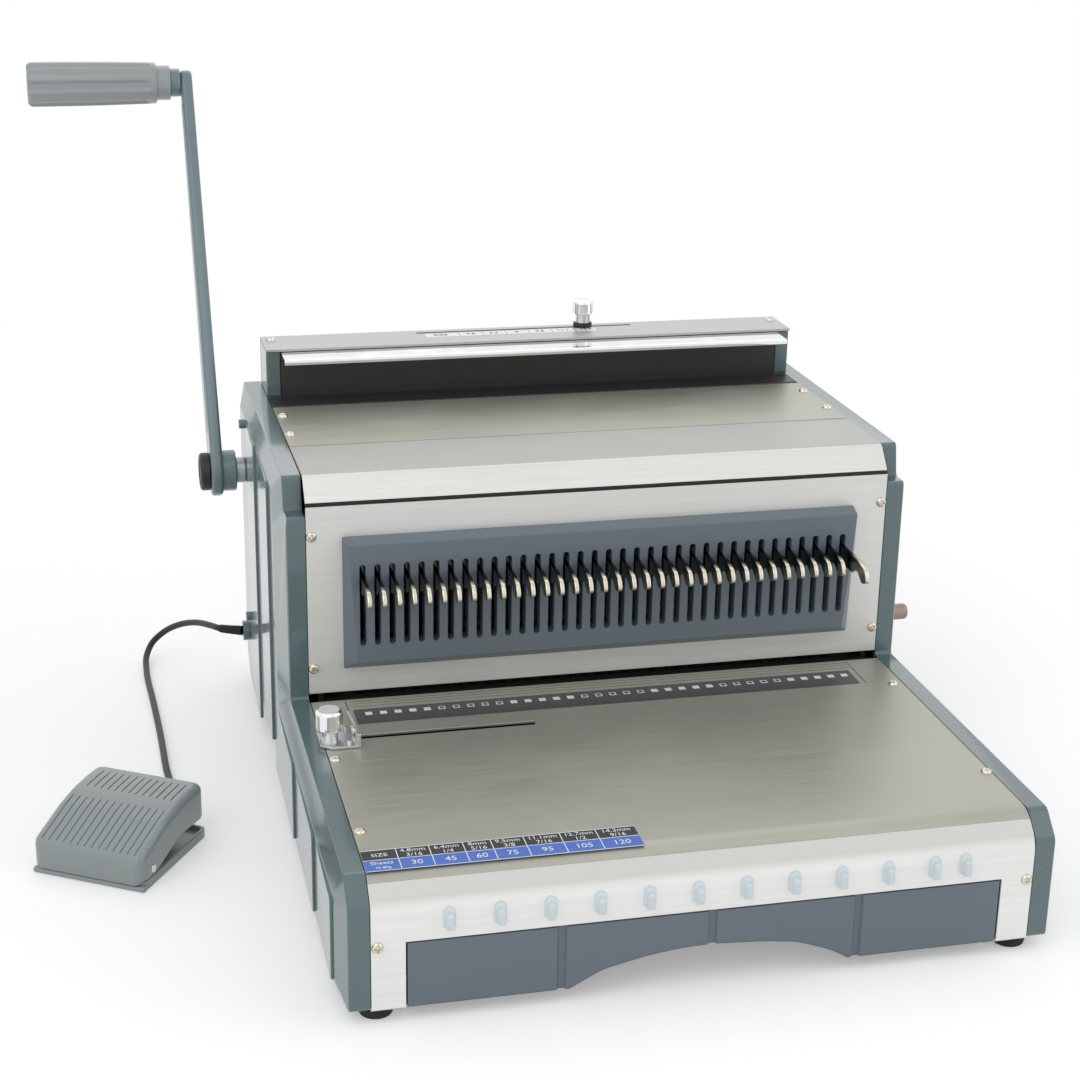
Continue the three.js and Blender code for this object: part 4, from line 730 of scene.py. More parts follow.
class Look(Enum):
    """The machine's finishes, coloured as photographed; the silver sheet has lighter and darker
    copies, and some steel is darkened, as painted light and shade.
    """

    FRONT_SHEET = Finish("front_sheet", SILVERS, 0xE2E2DF, 0.42, 0.5, SATIN)
    # Painted light and shade: a lighter copy of the silver sheet for the table's front face,
    # turning darker over its upper fold.
    APRON_SHEET = Finish("apron_sheet", SILVERS, 0xF8F8F6, 0.42, 0.25, SATIN,
                         painted_shade=PaintedShade(-225.5, -222.5, 0xD6D5D1))
    # Painted shade: a darker copy of the silver sheet for the up-facing table and the cover's back
    # part.
    TOP_SHEET = Finish("top_sheet", SILVERS, 0xB4B3A8, 0.42, 0.55, SATIN, patches=0.1)
    # Painted shade: a darker copy of the silver sheet for the up-facing front part of the upper
    # cover.
    BAND_SHEET = Finish("band_sheet", SILVERS, 0xB4B4B0, 0.42, 0.55, SATIN, patches=0.1)
    CLOSER_SHEET = Finish("closer_sheet", SILVERS, 0xB2B4B4, 0.36, 0.7, SATIN)
    STEEL = Finish("ground_steel", STEELS, 0xA9ABAA, 0.32, 0.9, Grain.GROUND)
    # Painted shade: steel darkened so that the inner parts seen through the throat and gaps read as
    # shade.
    DARK_STEEL = Finish("shade_darkened_steel", STEELS, 0x2A2B2B, 0.5, 0.6, Grain.GROUND)
    NICKEL = Finish("bright_nickel", STEELS, 0xD8D2C2, 0.16, 1.0, SHINE)
    PLATED = Finish("plated_steel", STEELS, 0xDADBDA, 0.18, 0.9, SHINE)
    # Painted shade: the blades turn dark towards their backs, where they sit in the slots' shade.
    HOOK = Finish("hook_nickel", STEELS, 0xDAD2C0, 0.2, 1.0, SHINE,
                  painted_shade=PaintedShade(-32.0, -26.0, 0x2E2A24))
    CHROME = Finish("chrome", "chrome_plate", 0xECEDEE, 0.07, 1.0, SHINE)
    COVER = Finish("cover_plastic", "slate_cover", 0x566D70, 0.28, 0.0, MOULD, coat=0.7)
    ARM = Finish("arm_paint", "slate_cover", 0x6B8085, 0.3, 0.0, MOULD, coat=0.5)
    COMB = Finish("comb_plastic", SLATES, 0x6B7781, 0.4, 0.0, MOULD, coat=0.1)
    DRAWER = Finish("drawer_plastic", SLATES, 0x6B7680, 0.42, 0.0, MOULD)
    BLACK_SHEET = Finish("black_sheet", "black_metal", 0x393636, 0.4, 0.2, Grain.PAINTED)
    BLACK = Finish("black_moulding", BLACKS, 0x1C1C1D, 0.42, 0.0, MOULD)
    RUBBER = Finish("black_rubber", "rubber_black", 0x161616, 0.7, 0.0, Grain.RUBBER)
    FLEX = Finish("cord_sheath", "rubber_black", 0x17171A, 0.42, 0.0, Grain.RUBBER)
    PEG = Finish("peg_plastic", "pale_blue_plastic", 0xDDE8EC, 0.3, 0.0, MOULD, coat=0.2)
    GRIP = Finish("grip_mould", "grip_plastic", 0x9AA0A2, 0.28, 0.0, MOULD, coat=0.4)
    PEDAL = Finish("pedal_mould", "pedal_plastic", 0x959D9E, 0.36, 0.0, MOULD, coat=0.25)
    BOARD = Finish("board_film", "board", 0x1D5A33, 0.4, 0.0, FILM)
    ZINC = Finish("cast_zinc", "zinc", 0xC4C2BB, 0.35, 0.9, Grain.CAST)
    DIAL = Finish("turned_dial", "dial_metal", 0x9C8A82, 0.34, 0.85, Grain.GROUND)
    NYLON = Finish("pale_nylon", "zinc", 0xB9BFC0, 0.25, 0.4, SHINE)
    LABEL_BLACK = Finish("label_black", BLACKS, 0x28282B, 0.35, 0.0, FILM)
    LABEL_BLUE = Finish("label_blue", BLACKS, 0x4A74CE, 0.35, 0.0, FILM)
    LABEL_WHITE = Finish("label_white", "pale_blue_plastic", 0xF2F4F5, 0.35, 0.0, FILM)
    LABEL_GREY = Finish("label_grey", SLATES, 0x484A4A, 0.35, 0.1, FILM)
    ENGRAVED = Finish("engraved_line", "black_metal", 0x4A4B4A, 0.5, 0.3, FILM)


CREASE = 38.0
WELD = 2e-6
BEVEL_ANGLE = 50.0


def linked(name: str, data: bpy.types.ID) -> bpy.types.Object:
    """A new object of the scene."""
    made = bpy.data.objects.new(name, data)
    bpy.context.scene.collection.objects.link(made)
    return made


def mesh_of(name: str, surface: Surface, outward: bool) -> bpy.types.Mesh:
    """A surface's mesh, without the points that no face uses, its double points welded.

    Args:
        name: The mesh's name.
        surface: The surface.
        outward: Whether the faces are also turned to point out, as a closed surface needs.

    Returns:
        The mesh, in the part's frame and metres.
    """
    mesh = bpy.data.meshes.new(name)
    used = np.unique(np.concatenate([table.ravel() for table in surface.faces]))
    rows = [row for table in surface.faces for row in np.searchsorted(used, table).tolist()]
    mesh.from_pydata(((surface.points[used] + DATUM) * MM).tolist(), [], rows)
    tool = bmesh.new()
    tool.from_mesh(mesh)
    bmesh.ops.remove_doubles(tool, verts=tool.verts, dist=WELD)
    if outward:
        bmesh.ops.recalc_face_normals(tool, faces=tool.faces)
    tool.to_mesh(mesh)
    tool.free()
    mesh.validate()
    return mesh


def piece(name: str, surface: Surface, look: Look, *nodes: str, body: str = "frame",
          crease: float = CREASE, thick: float = 0.0, rim: float = 0.0) -> bpy.types.Object:
    """Makes a surface one piece of the object.

    Args:
        name: The piece's name.
        surface: Its surface.
        look: Its finish.
        nodes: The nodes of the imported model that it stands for.
        body: The body that it rides on.
        crease: The angle above which an edge is sharp, in degrees.
        thick: The wall that an open sheet gets, inwards.
        rim: The width of the bevel on the wall's edges.

    Returns:
        The piece.
    """
    mesh = mesh_of(name, surface, not thick)
    mesh.polygons.foreach_set("use_smooth", np.ones(len(mesh.polygons), bool))
    mesh.set_sharp_from_angle(angle=math.radians(crease))
    mesh.materials.append(look.value.material())
    made = linked(name, mesh)
    if thick:
        wall = made.modifiers.new("wall", "SOLIDIFY")
        wall.thickness, wall.offset, wall.use_even_offset = thick * MM, -1.0, True
    if rim:
        edge = made.modifiers.new("edges", "BEVEL")
        edge.width, edge.segments, edge.limit_method = rim * MM, 2, "ANGLE"
        edge.angle_limit, edge.use_clamp_overlap = math.radians(BEVEL_ANGLE), True
    made.modifiers.new("normals", "WEIGHTED_NORMAL").keep_sharp = True
    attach(made, body)
    if nodes:
        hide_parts(*nodes)
    return made


@dataclass(frozen=True)
class Lamp:
    """One soft square light: its name, its place, its side in metres and its power in watts."""

    name: str
    place: Spot
    side: float
    power: float

    def build(self, target: Spot) -> None:
        """Makes the light, aimed at a target."""
        data = bpy.data.lights.new(self.name, "AREA")
        data.size, data.energy = self.side, self.power
        lamp = linked(self.name, data)
        spot, aim = (Vector(((np.array(point) + DATUM) * MM).tolist())
                     for point in (self.place, target))
        lamp.location = spot
        lamp.rotation_mode = "QUATERNION"
        lamp.rotation_quaternion = (aim - spot).to_track_quat("-Z", "Y")


@dataclass
class Studio:
    """The photograph's camera, the pale floor and the soft lights."""

    place: Spot = (-307.0, -1109.0, 569.0)
    yaw: float = 13.60
    pitch: float = 19.45
    roll: float = 0.98
    lens: float = 69.67
    sensor: float = 36.0
    far: float = 100.0
    target: Spot = (0.0, 0.0, 90.0)
    lamps: tuple[Lamp, ...] = (
        Lamp("key", (-900.0, -1100.0, 1500.0), 1.6, 8.5),
        Lamp("fill", (1300.0, -700.0, 900.0), 1.4, 3.5),
        Lamp("back", (200.0, 1300.0, 1300.0), 1.6, 4.0),
    )
    floor_reach: float = 4000.0
    floor_drop: float = 0.0002
    floor_tone: float = 0.86
    floor_glow: float = 0.3
    floor_fade: Span = (0.65, 1.6)
    world_light: Span = (0.62, 1.0)

    def camera(self) -> None:
        """The camera: it looks along its yaw and pitch, then rolls about that line."""
        yaw, pitch, roll = (math.radians(angle) for angle in (self.yaw, self.pitch, self.roll))
        level = np.array((math.sin(yaw), math.cos(yaw), 0.0)) * math.cos(pitch)
        ahead = level - (0.0, 0.0, math.sin(pitch))
        right = np.array((math.cos(yaw), -math.sin(yaw), 0.0))
        up = np.cross(right, ahead)
        turned_right = math.cos(roll) * right + math.sin(roll) * up
        turned_up = math.cos(roll) * up - math.sin(roll) * right
        matrix = np.eye(4)
        matrix[:3, :3] = np.stack([turned_right, turned_up, -ahead], axis=1)
        matrix[:3, 3] = (np.array(self.place) + DATUM) * MM
        data = bpy.data.cameras.new("camera")
        data.lens, data.sensor_width, data.clip_end = self.lens, self.sensor, self.far
        holder = linked("camera", data)
        holder.matrix_world = Matrix(matrix.tolist())
        bpy.context.scene.camera = holder

    def surroundings(self) -> None:
        """The pale floor, and a world that is white where it is seen and a soft light elsewhere."""
        mesh = bpy.data.meshes.new("floor")
        across = about(0.0, self.floor_reach)
        corners = box_outline(across, across).tolist()
        height = DATUM[2] * MM - self.floor_drop
        mesh.from_pydata([(x * MM, y * MM, height) for x, y in corners], [], [(0, 1, 2, 3)])
        mesh.materials.append(self._floor_material())
        linked("floor", mesh)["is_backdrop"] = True
        world = bpy.data.worlds.new("studio")
        bpy.context.scene.world = world
        world.use_nodes = True
        nodes = Nodes(world.node_tree)
        light = world.node_tree.nodes["Background"]
        light.inputs["Color"].default_value = (1.0, 1.0, 1.0, 1.0)
        strength = nodes.spread(self._seen(nodes), (0.0, 1.0), self.world_light)
        world.node_tree.links.new(strength, light.inputs["Strength"])

    def _floor_material(self) -> bpy.types.Material:
        """A pale matt floor that glows a little where it is seen and thins out further off."""
        material = bpy.data.materials.new("floor")
        material.use_nodes = True
        material.node_tree.nodes.clear()
        nodes = Nodes(material.node_tree)
        matt = nodes.add("BsdfDiffuse", {"Color": (*[self.floor_tone] * 3, 1.0)})
        strength = nodes.spread(self._seen(nodes), (0.0, 1.0), (0.0, self.floor_glow))
        glow = nodes.add("Emission", {"Strength": strength})
        both = nodes.add("AddShader", {0: matt.outputs[0], 1: glow.outputs[0]})
        distance = nodes.add("VectorMath", {0: nodes.place()}, operation="LENGTH").outputs["Value"]
        fade = nodes.spread(distance, self.floor_fade, (0.0, 1.0), interpolation_type="SMOOTHSTEP")
        clear = nodes.add("BsdfTransparent")
        ends = nodes.add("MixShader", {0: fade, 1: both.outputs[0], 2: clear.outputs[0]})
        nodes.add("OutputMaterial", {"Surface": ends.outputs[0]})
        return material

    @staticmethod
    def _seen(nodes: Nodes) -> Socket:
        """One where the camera, a reflection or glass looks, nought where light is bounced."""
        rays = nodes.add("LightPath").outputs
        value = rays["Is Camera Ray"]
        for name in ("Is Glossy Ray", "Is Transmission Ray"):
            value = nodes.add("Math", {0: value, 1: rays[name]}, operation="MAXIMUM").outputs[0]
        return value

    def build(self) -> None:
        """Makes the camera, the lights and the surroundings."""
        bpy.context.scene.view_settings.view_transform = "Standard"
        self.camera()
        for lamp in self.lamps:
            lamp.build(self.target)
        self.surroundings()


@dataclass
class PedalCord:
    """The flexible cord from the pedal's back to the machine's left cover, lying on the table."""

    radius: float = 2.15
    start: Spot = (-194.65, 200.0, 42.5)
    route: tuple[Spot, ...] = (
        (-207.5, 206.8, 42.2), (-214.0, 218.5, 40.4), (-221.5, 235.0, 36.5), (-231.0, 250.0, 30.5),
        (-242.0, 263.0, 21.0), (-251.0, 266.0, 12.0), (-256.0, 256.0, 6.2), (-257.2, 240.0, 2.9),
        (-257.2, 222.0, 2.2), (-256.2, 196.0, 2.2), (-255.2, 163.0, 2.2), (-254.5, 131.0, 2.2),
        (-254.3, 108.0, 2.2), (-254.0, 79.0, 2.2), (-252.6, 60.0, 2.2), (-250.6, 45.0, 2.2),
        (-250.0, 33.0, 2.3), (-251.8, 23.0, 2.9),
    )
    end: Spot = (-256.8, 15.2, 3.4)
    samples: int = 260
    sleeve: float = 17.0
    sleeve_root: float = 3.1
    sleeve_tip: float = 2.4
    sleeve_samples: int = 69
    rib: float = 0.28
    rib_count: int = 8

    def build(self) -> None:
        """The cord, and a tapered ribbed sleeve where it leaves the cover."""
        points = along(np.array([self.start, *self.route, self.end]), self.samples)
        points[:, 2] = np.maximum(points[:, 2], self.radius)
        length = float(np.sum(np.linalg.norm(np.diff(points, axis=0), axis=1)))
        cord = piece("pedal_cord_sheath", tube(points, self.radius, 20), Look.FLEX, "pedal_cord")
        covered = int(self.sleeve / (length / (len(points) - 1)))
        path = along(points[: covered + 1], self.sleeve_samples)
        share = np.linspace(0, 1, self.sleeve_samples)
        ribs = self.rib * (np.cos(share * ROUND * self.rib_count) > 0.2) * (share < 0.9)
        radii = self.sleeve_root + (self.sleeve_tip - self.sleeve_root) * share + ribs
        sleeve = piece("cord_sleeve", tube(path, radii, 24), Look.RUBBER)


TABLE_TOP = 77.4
APRON_Y = -225.7
PANEL_HALF = 174.25
REAR_Y = 228.0
CLOSER_TOP = 239.1


@dataclass
class Screws:
    """Pan-head screws with a cross recess, set square to the sheets that they hold.

    A group has its piece's name, the heads' tip about x in degrees, how much further each is spun
    than the last in radians, and their places.
    """

    radius: float = 3.1
    height: float = 1.7
    sunk: float = 0.1
    proud: float = 0.05
    recess: float = 0.9
    recess_half: float = 0.52
    recess_reach: float = 0.6
    recess_ease: Span = (0.18, 0.25)
    rings: int = 15
    sides: int = 40
    groups: tuple[tuple[str, float, float, tuple[Spot, ...]], ...] = (
        ("cover_screws", 0.0, 0.7, ((170.5, 138.0, 207.9), (171.0, 96.0, 208.4),
                                    (-170.5, 138.0, 207.9), (-171.0, 96.0, 208.4))),
        ("panel_screws", 90.0, 0.7, ((-171.3, 0.0, 176.5), (-171.3, 0.0, 96.0), (171.3, 0.0, 176.5),
                                     (171.3, 0.0, 96.0))),
        ("table_screws", 0.0, 0.7, ((-171.4, -84.0, TABLE_TOP), (-170.8, -170.0, TABLE_TOP),
                                    (168.0, -45.0, TABLE_TOP), (171.6, -168.0, TABLE_TOP))),
        ("front_screws", 90.0, 0.7, ((-171.0, APRON_Y, 43.0), (171.0, APRON_Y, 43.0))),
        ("closer_screws", 0.0, 0.7, ((-169.5, 208.0, CLOSER_TOP), (169.5, 208.0, CLOSER_TOP))),
        ("back_screws", -90.0, 0.0, ((-168.0, REAR_Y, 190.0), (168.0, REAR_Y, 190.0),
                                     (-168.0, REAR_Y, 28.0), (168.0, REAR_Y, 28.0),
                                     (0.0, REAR_Y, 190.0), (0.0, REAR_Y, 28.0))),
    )

    def head(self) -> Surface:
        """One head, lying face up at the datum.

        The height at the share s of the radius is h (1 - s^4)^0.6, from which a cross is taken: its
        arms have a constant half width, and its floor rises over the eases at its sides and ends.
        """
        share = np.linspace(0, 1, self.rings + 1)[1:, None] ** 0.9
        flat = radial(self.radius * share, headings(self.sides))
        dome = self.height * (1 - share**4) ** 0.6 + self.proud
        arm, reach = np.abs(flat).min(axis=-1), np.abs(flat).max(axis=-1)
        inside = np.clip((self.recess_half - arm) / self.recess_ease[0], 0, 1)
        inside *= np.clip((self.recess_reach * self.radius - reach) / self.recess_ease[1], 0, 1)
        height = dome - self.recess * inside
        rings = np.concatenate([flat, height[..., None]], axis=-1)[::-1]
        foot = placed(circle((0.0, 0.0), self.radius, self.sides), -self.sunk, Z)
        tip = np.array([[0.0, 0.0, self.height - self.recess + self.proud]])
        dome = loops(np.concatenate([foot[None], rings]), (True, False))
        return joined(dome, fan(rings[-1], tip))

    def build(self) -> None:
        """All the screws of the machine's sheets."""
        for name, tip, spin, places in self.groups:
            tilt = Matrix.Rotation(math.radians(tip), 3, "X")
            turns = [tilt @ Matrix.Rotation(spin * k, 3, "Z") for k in range(len(places))]
            heads = [self.head().turned(turn).moved(place) for turn, place in zip(turns, places)]
            piece(name, joined(*heads), Look.NICKEL)


@dataclass
class SheetBody:
    """The silver sheets: table and front face, front panel, upper cover and rear cover."""

    wall: float = 1.5
    sides: Span = (-PANEL_HALF, PANEL_HALF)
    table_back: float = -5.3
    table_fold: float = 12.7
    foot: float = 8.0
    slot: Area = ((-172.6, -53.5), (-59.7, -54.7))
    drawer_half: float = 157.0
    drawer_top: float = 44.5
    peg_pitch: float = 25.4
    peg_half: float = 2.9
    peg_span: Span = (51.2, 60.2)
    panel: Span = (80.3, 193.9)
    window: Area = ((-145.9, 145.9), (108.8, 165.0))
    cover_front: Span = (12.6, 209.5)
    cover_back: Span = (160.0, 207.7)
    flap: Area = ((1.9, 196.75), (1.4, 195.95))
    seam: float = 70.6
    step: float = 0.35
    rear_top: Span = (186.3, 207.2)
    vent_rows: Line = tuple((146.0 - 8.0 * k, 150.0 - 8.0 * k) for k in range(6))
    vent_columns: Line = tuple((-60.0 + 24.0 * k, -42.0 + 24.0 * k) for k in range(5))
    openings: Line = ((95.7, 124.3), (62.7, 77.3))
    opening_z: Span = (33.7, 56.3)
    anywhere: Span = (-300.0, 300.0)

    def peg_places(self) -> Array:
        """The x of the twelve pegs, the last a third of a pitch further out."""
        slot_pitch = self.peg_pitch / 3
        first = -5 * self.peg_pitch - slot_pitch
        return np.append(first + self.peg_pitch * np.arange(11), 5 * self.peg_pitch + slot_pitch)

    def table(self) -> None:
        """The table sheet, folded down in front through two soft bends, with its guide slot."""
        flat = APRON_Y + self.table_fold
        corners = [(self.table_back, TABLE_TOP), (flat, TABLE_TOP),
                   (APRON_Y, TABLE_TOP - self.table_fold), (APRON_Y, self.foot)]
        profile = softened(corners, (0, 7.0, 7.0, 0), 8, closed=False)
        split = int(np.argmax(profile[:, 0] < flat - 3.0))
        top = with_lines(profile[: split + 1], 0, self.slot[1])
        made = sheet([*self.sides, *self.slot[0]], top, [(*self.slot, self.anywhere)])
        piece("table_sheet", made, Look.TOP_SHEET, "table_panel", thick=self.wall, rim=0.25)
        lower = with_lines(profile[split:], 1, (*self.peg_span, self.drawer_top))
        holes = [about(x, self.peg_half) for x in self.peg_places()]
        drawer = (-self.drawer_half, self.drawer_half)
        gone = [(drawer, self.anywhere, (0.0, self.drawer_top))]
        gone += [(hole, self.anywhere, self.peg_span) for hole in holes]
        made = sheet([*self.sides, *drawer, *np.ravel(holes)], lower, gone)
        piece("table_front", made, Look.APRON_SHEET, thick=self.wall, rim=0.25)

    def front_panel(self) -> None:
        """The upright panel behind the comb plate, with the window that the hooks pass through."""
        across, (low, high) = self.window
        profile = np.array([(0.0, z) for z in (self.panel[1], high, low, self.panel[0])])
        made = sheet([*self.sides, *across], profile, [(across, self.anywhere, (low, high))])
        piece("front_panel_sheet", made, Look.FRONT_SHEET, "front_panel", thick=self.wall, rim=0.3)

    def upper_cover(self) -> None:
        """The upper cover: a top that falls a little to the back, a lap seam in it, and a flap."""
        (near, high), (far, low) = self.cover_front, self.cover_back
        seam_z = high - (high - low) / (far - near) * (self.seam - near)
        corners = [(far, 203.9), (far, low), (self.seam, seam_z)]
        back = softened(corners, (0, 1.2, 0), 4, closed=False)
        piece("cover_back_sheet", sheet(self.sides, back), Look.TOP_SHEET, thick=self.wall, rim=0.2)
        front = [(self.seam + 0.4, seam_z - self.step), (near, high - self.step), *self.flap]
        folded = softened(front, (0, 2.6, 0.3, 0), 6, closed=False)
        split = 3
        top, flap = sheet(self.sides, folded[: split + 1]), sheet(self.sides, folded[split:])
        piece("cover_front_sheet", top, Look.BAND_SHEET, "upper_cover", thick=self.wall, rim=0.2)
        piece("cover_flap", flap, Look.FRONT_SHEET, thick=self.wall - 0.3, rim=0.2)
        seal = block(self.sides, (0.3, 1.2), (self.panel[1] + 0.05, 195.6), 0.2)
        piece("flap_seal", seal, Look.RUBBER)

    def rear_cover(self) -> None:
        """The rear cover: a ledge behind the closer and the back wall, with openings and vents."""
        corners = [self.rear_top, (REAR_Y, self.rear_top[1]), (REAR_Y, self.foot)]
        profile = softened(corners, (0, 2.5, 0), 5, closed=False)
        lines = sorted({*np.ravel(self.vent_rows), *self.opening_z}, reverse=True)
        deep = about(REAR_Y, 1.0)
        gone = [(column, deep, row) for row in self.vent_rows for column in self.vent_columns]
        gone += [(opening, deep, self.opening_z) for opening in self.openings]
        x = [*self.sides, *np.ravel(self.vent_columns), *np.ravel(self.openings)]
        made = sheet(x, with_lines(profile, 1, lines)[::-1], gone)
        piece("rear_sheet", made, Look.FRONT_SHEET, "rear_cover", thick=self.wall, rim=0.25)
        baffle = block((-70.0, 70.0), (224.0, 225.2), (100.0, 156.0), 0.3)
        piece("vent_baffle", baffle, Look.BLACK_SHEET)

    def build(self) -> None:
        """Makes the four sheets."""
        self.table()
        self.front_panel()
        self.upper_cover()
        self.rear_cover()


@dataclass
class SideCovers:
    """The moulded side covers: a rim, a bevel and a shell, with lapped panels and posts."""

    inner: float = 174.55
    flat_end: float = 185.55
    outer: float = 189.75
    wall: float = 2.5
    soft: float = 2.6
    crisp: float = 0.8
    crisp_corners: tuple[int, ...] = (12, 13)
    outline: Line = (
        (-225.7, 8.0), (-225.7, 64.7), (-213.0, 77.4), (0.0, 77.4), (0.0, 188.6), (12.6, 188.6),
        (16.35, 208.0), (228.0, 207.2), (228.0, 16.0), (208.0, 3.0), (160.0, 3.0), (113.0, 20.7),
        (53.33, 20.7), (53.33, 5.0), (-209.7, 5.3),
    )
    bevel: Line = (
        (-207.0, 16.0), (-207.0, 55.65), (-200.65, 62.0), (28.0, 62.0), (33.0, 77.4), (33.0, 175.6),
        (36.75, 195.0), (215.0, 195.0), (215.0, 22.5), (199.0, 9.5), (166.5, 9.5), (119.5, 27.2),
        (46.83, 27.2), (46.83, 11.5), (-199.0, 11.5),
    )
    posts: Line = ((184.0, 190.9), (176.0, 62.0))
    plug: Span = (-180.0, 38.0)
    laps: tuple[Area, ...] = (
        ((181.0, 214.0), (24.0, 194.0)), ((122.0, 180.0), (11.0, 194.0)),
        ((50.0, 121.0), (28.5, 194.0)), ((-51.0, 32.0), (13.0, 60.5)),
        ((-135.0, -52.0), (13.0, 60.5)), ((-204.0, -136.0), (13.0, 60.5)),
    )
    lap_rise: Span = (1.45, 0.15)
    dial: Span = (33.0, 91.0)
    lever: Span = (192.0, 157.8)
    lever_hole: float = 6.3
    cord: Span = (200.0, 42.5)
    cord_hole: float = 5.45

    def shell(self, holes: Sequence[Array]) -> Surface:
        """The right cover's shell.

        Its rings run from the inner edge outwards along the rim, across the bevel to the outer
        face, and back inside it at the wall's depth; both end faces are pierced where a shaft or a
        cord passes.
        """
        reach = np.full(len(self.outline), self.soft)
        reach[list(self.crisp_corners)] = self.crisp
        both = (self.outline, self.bevel)
        rim, face = (counterclockwise(softened(corners, reach, 4)) for corners in both)
        sunk = [drawn_in(counterclockwise(np.array(corners)), self.wall) for corners in both]
        inner_rim, inner_face = (softened(corners, 0.5, 4) for corners in sunk)
        rings = [(inner_rim, self.inner), (drawn_in(rim, 0.5), self.inner),
                 (drawn_in(rim, 0.15), self.inner + 0.15), (rim, self.inner + 0.5)]
        rings += [(rim + share * (face - rim), station) for share, station in (
            (0.0, self.flat_end - 0.6), (0.02, self.flat_end - 0.1), (0.1, self.flat_end + 0.35),
            (0.93, self.outer - 0.35), (0.985, self.outer - 0.08))]
        rings.append((drawn_in(face, 0.5), self.outer))
        depth = self.outer - self.wall
        hollow = [(inner_rim, self.inner), (inner_rim, self.flat_end - self.wall),
                  (inner_face, depth)]
        bare = (False, False)
        walls = [lofted([(hole, depth), (hole, self.outer)], X, bare).flipped() for hole in holes]
        return joined(lofted(rings, X, bare), lofted(hollow, X, bare).flipped(),
                      pierced(rings[-1][0], holes, self.outer, X, True),
                      pierced(inner_face, holes, depth, X, False), *walls)

    def lap(self, y: Span, z: Span) -> Surface:
        """One lapped panel on the outer face: a thin plate that is thicker at its front edge."""
        outline = box_outline(y, z, 5.0, 4)
        share = (outline[:, 0] - y[0]) / (y[1] - y[0])
        rise = (self.lap_rise[0] - self.lap_rise[1]) * (1 - share) + self.lap_rise[1]
        rings = [(outline, self.outer - 0.5), (outline, self.outer + 0.65 * rise),
                 (drawn_in(outline, 0.45), self.outer + rise)]
        return lofted(rings, X)

    def cover(self, *holes: Array) -> Surface:
        """One cover as it is on the right, with its posts and the laps that no hole crosses."""
        laps = [self.lap(y, z) for y, z in self.laps if not self._crossed(y, z, holes)]
        span = (self.outer - 1.0, self.outer + 3.9)
        posts = [rod(X, centre, 3.0, span, 0.5, 24) for centre in self.posts]
        plug = ring(X, self.plug, 3.6, 2.0, (self.outer - 0.6, self.outer + 0.95), 0.3)
        return joined(self.shell(holes), *laps, *posts, plug)

    @staticmethod
    def _crossed(y: Span, z: Span, holes: Sequence[Array]) -> bool:
        """Whether a hole lies on the panel."""
        centres = [hole.mean(axis=0) for hole in holes]
        return any(y[0] - 8 < c[0] < y[1] + 8 and z[0] < c[1] < z[1] for c in centres)

    def build(self) -> None:
        """Makes the two covers, the right one with a collar round the dial."""
        collar = ring(X, self.dial, 7.4, 5.3, (self.outer - 2.2, self.outer + 0.4), 0.3)
        holes = (circle(self.lever, self.lever_hole, 28), circle(self.cord, self.cord_hole, 28))
        right, left = joined(self.cover(), collar), self.cover(*holes).mirrored()
        piece("right_cover", right, Look.COVER, "right_side_cover", crease=32.0)
        piece("left_cover", left, Look.COVER, "left_side_cover", crease=32.0)


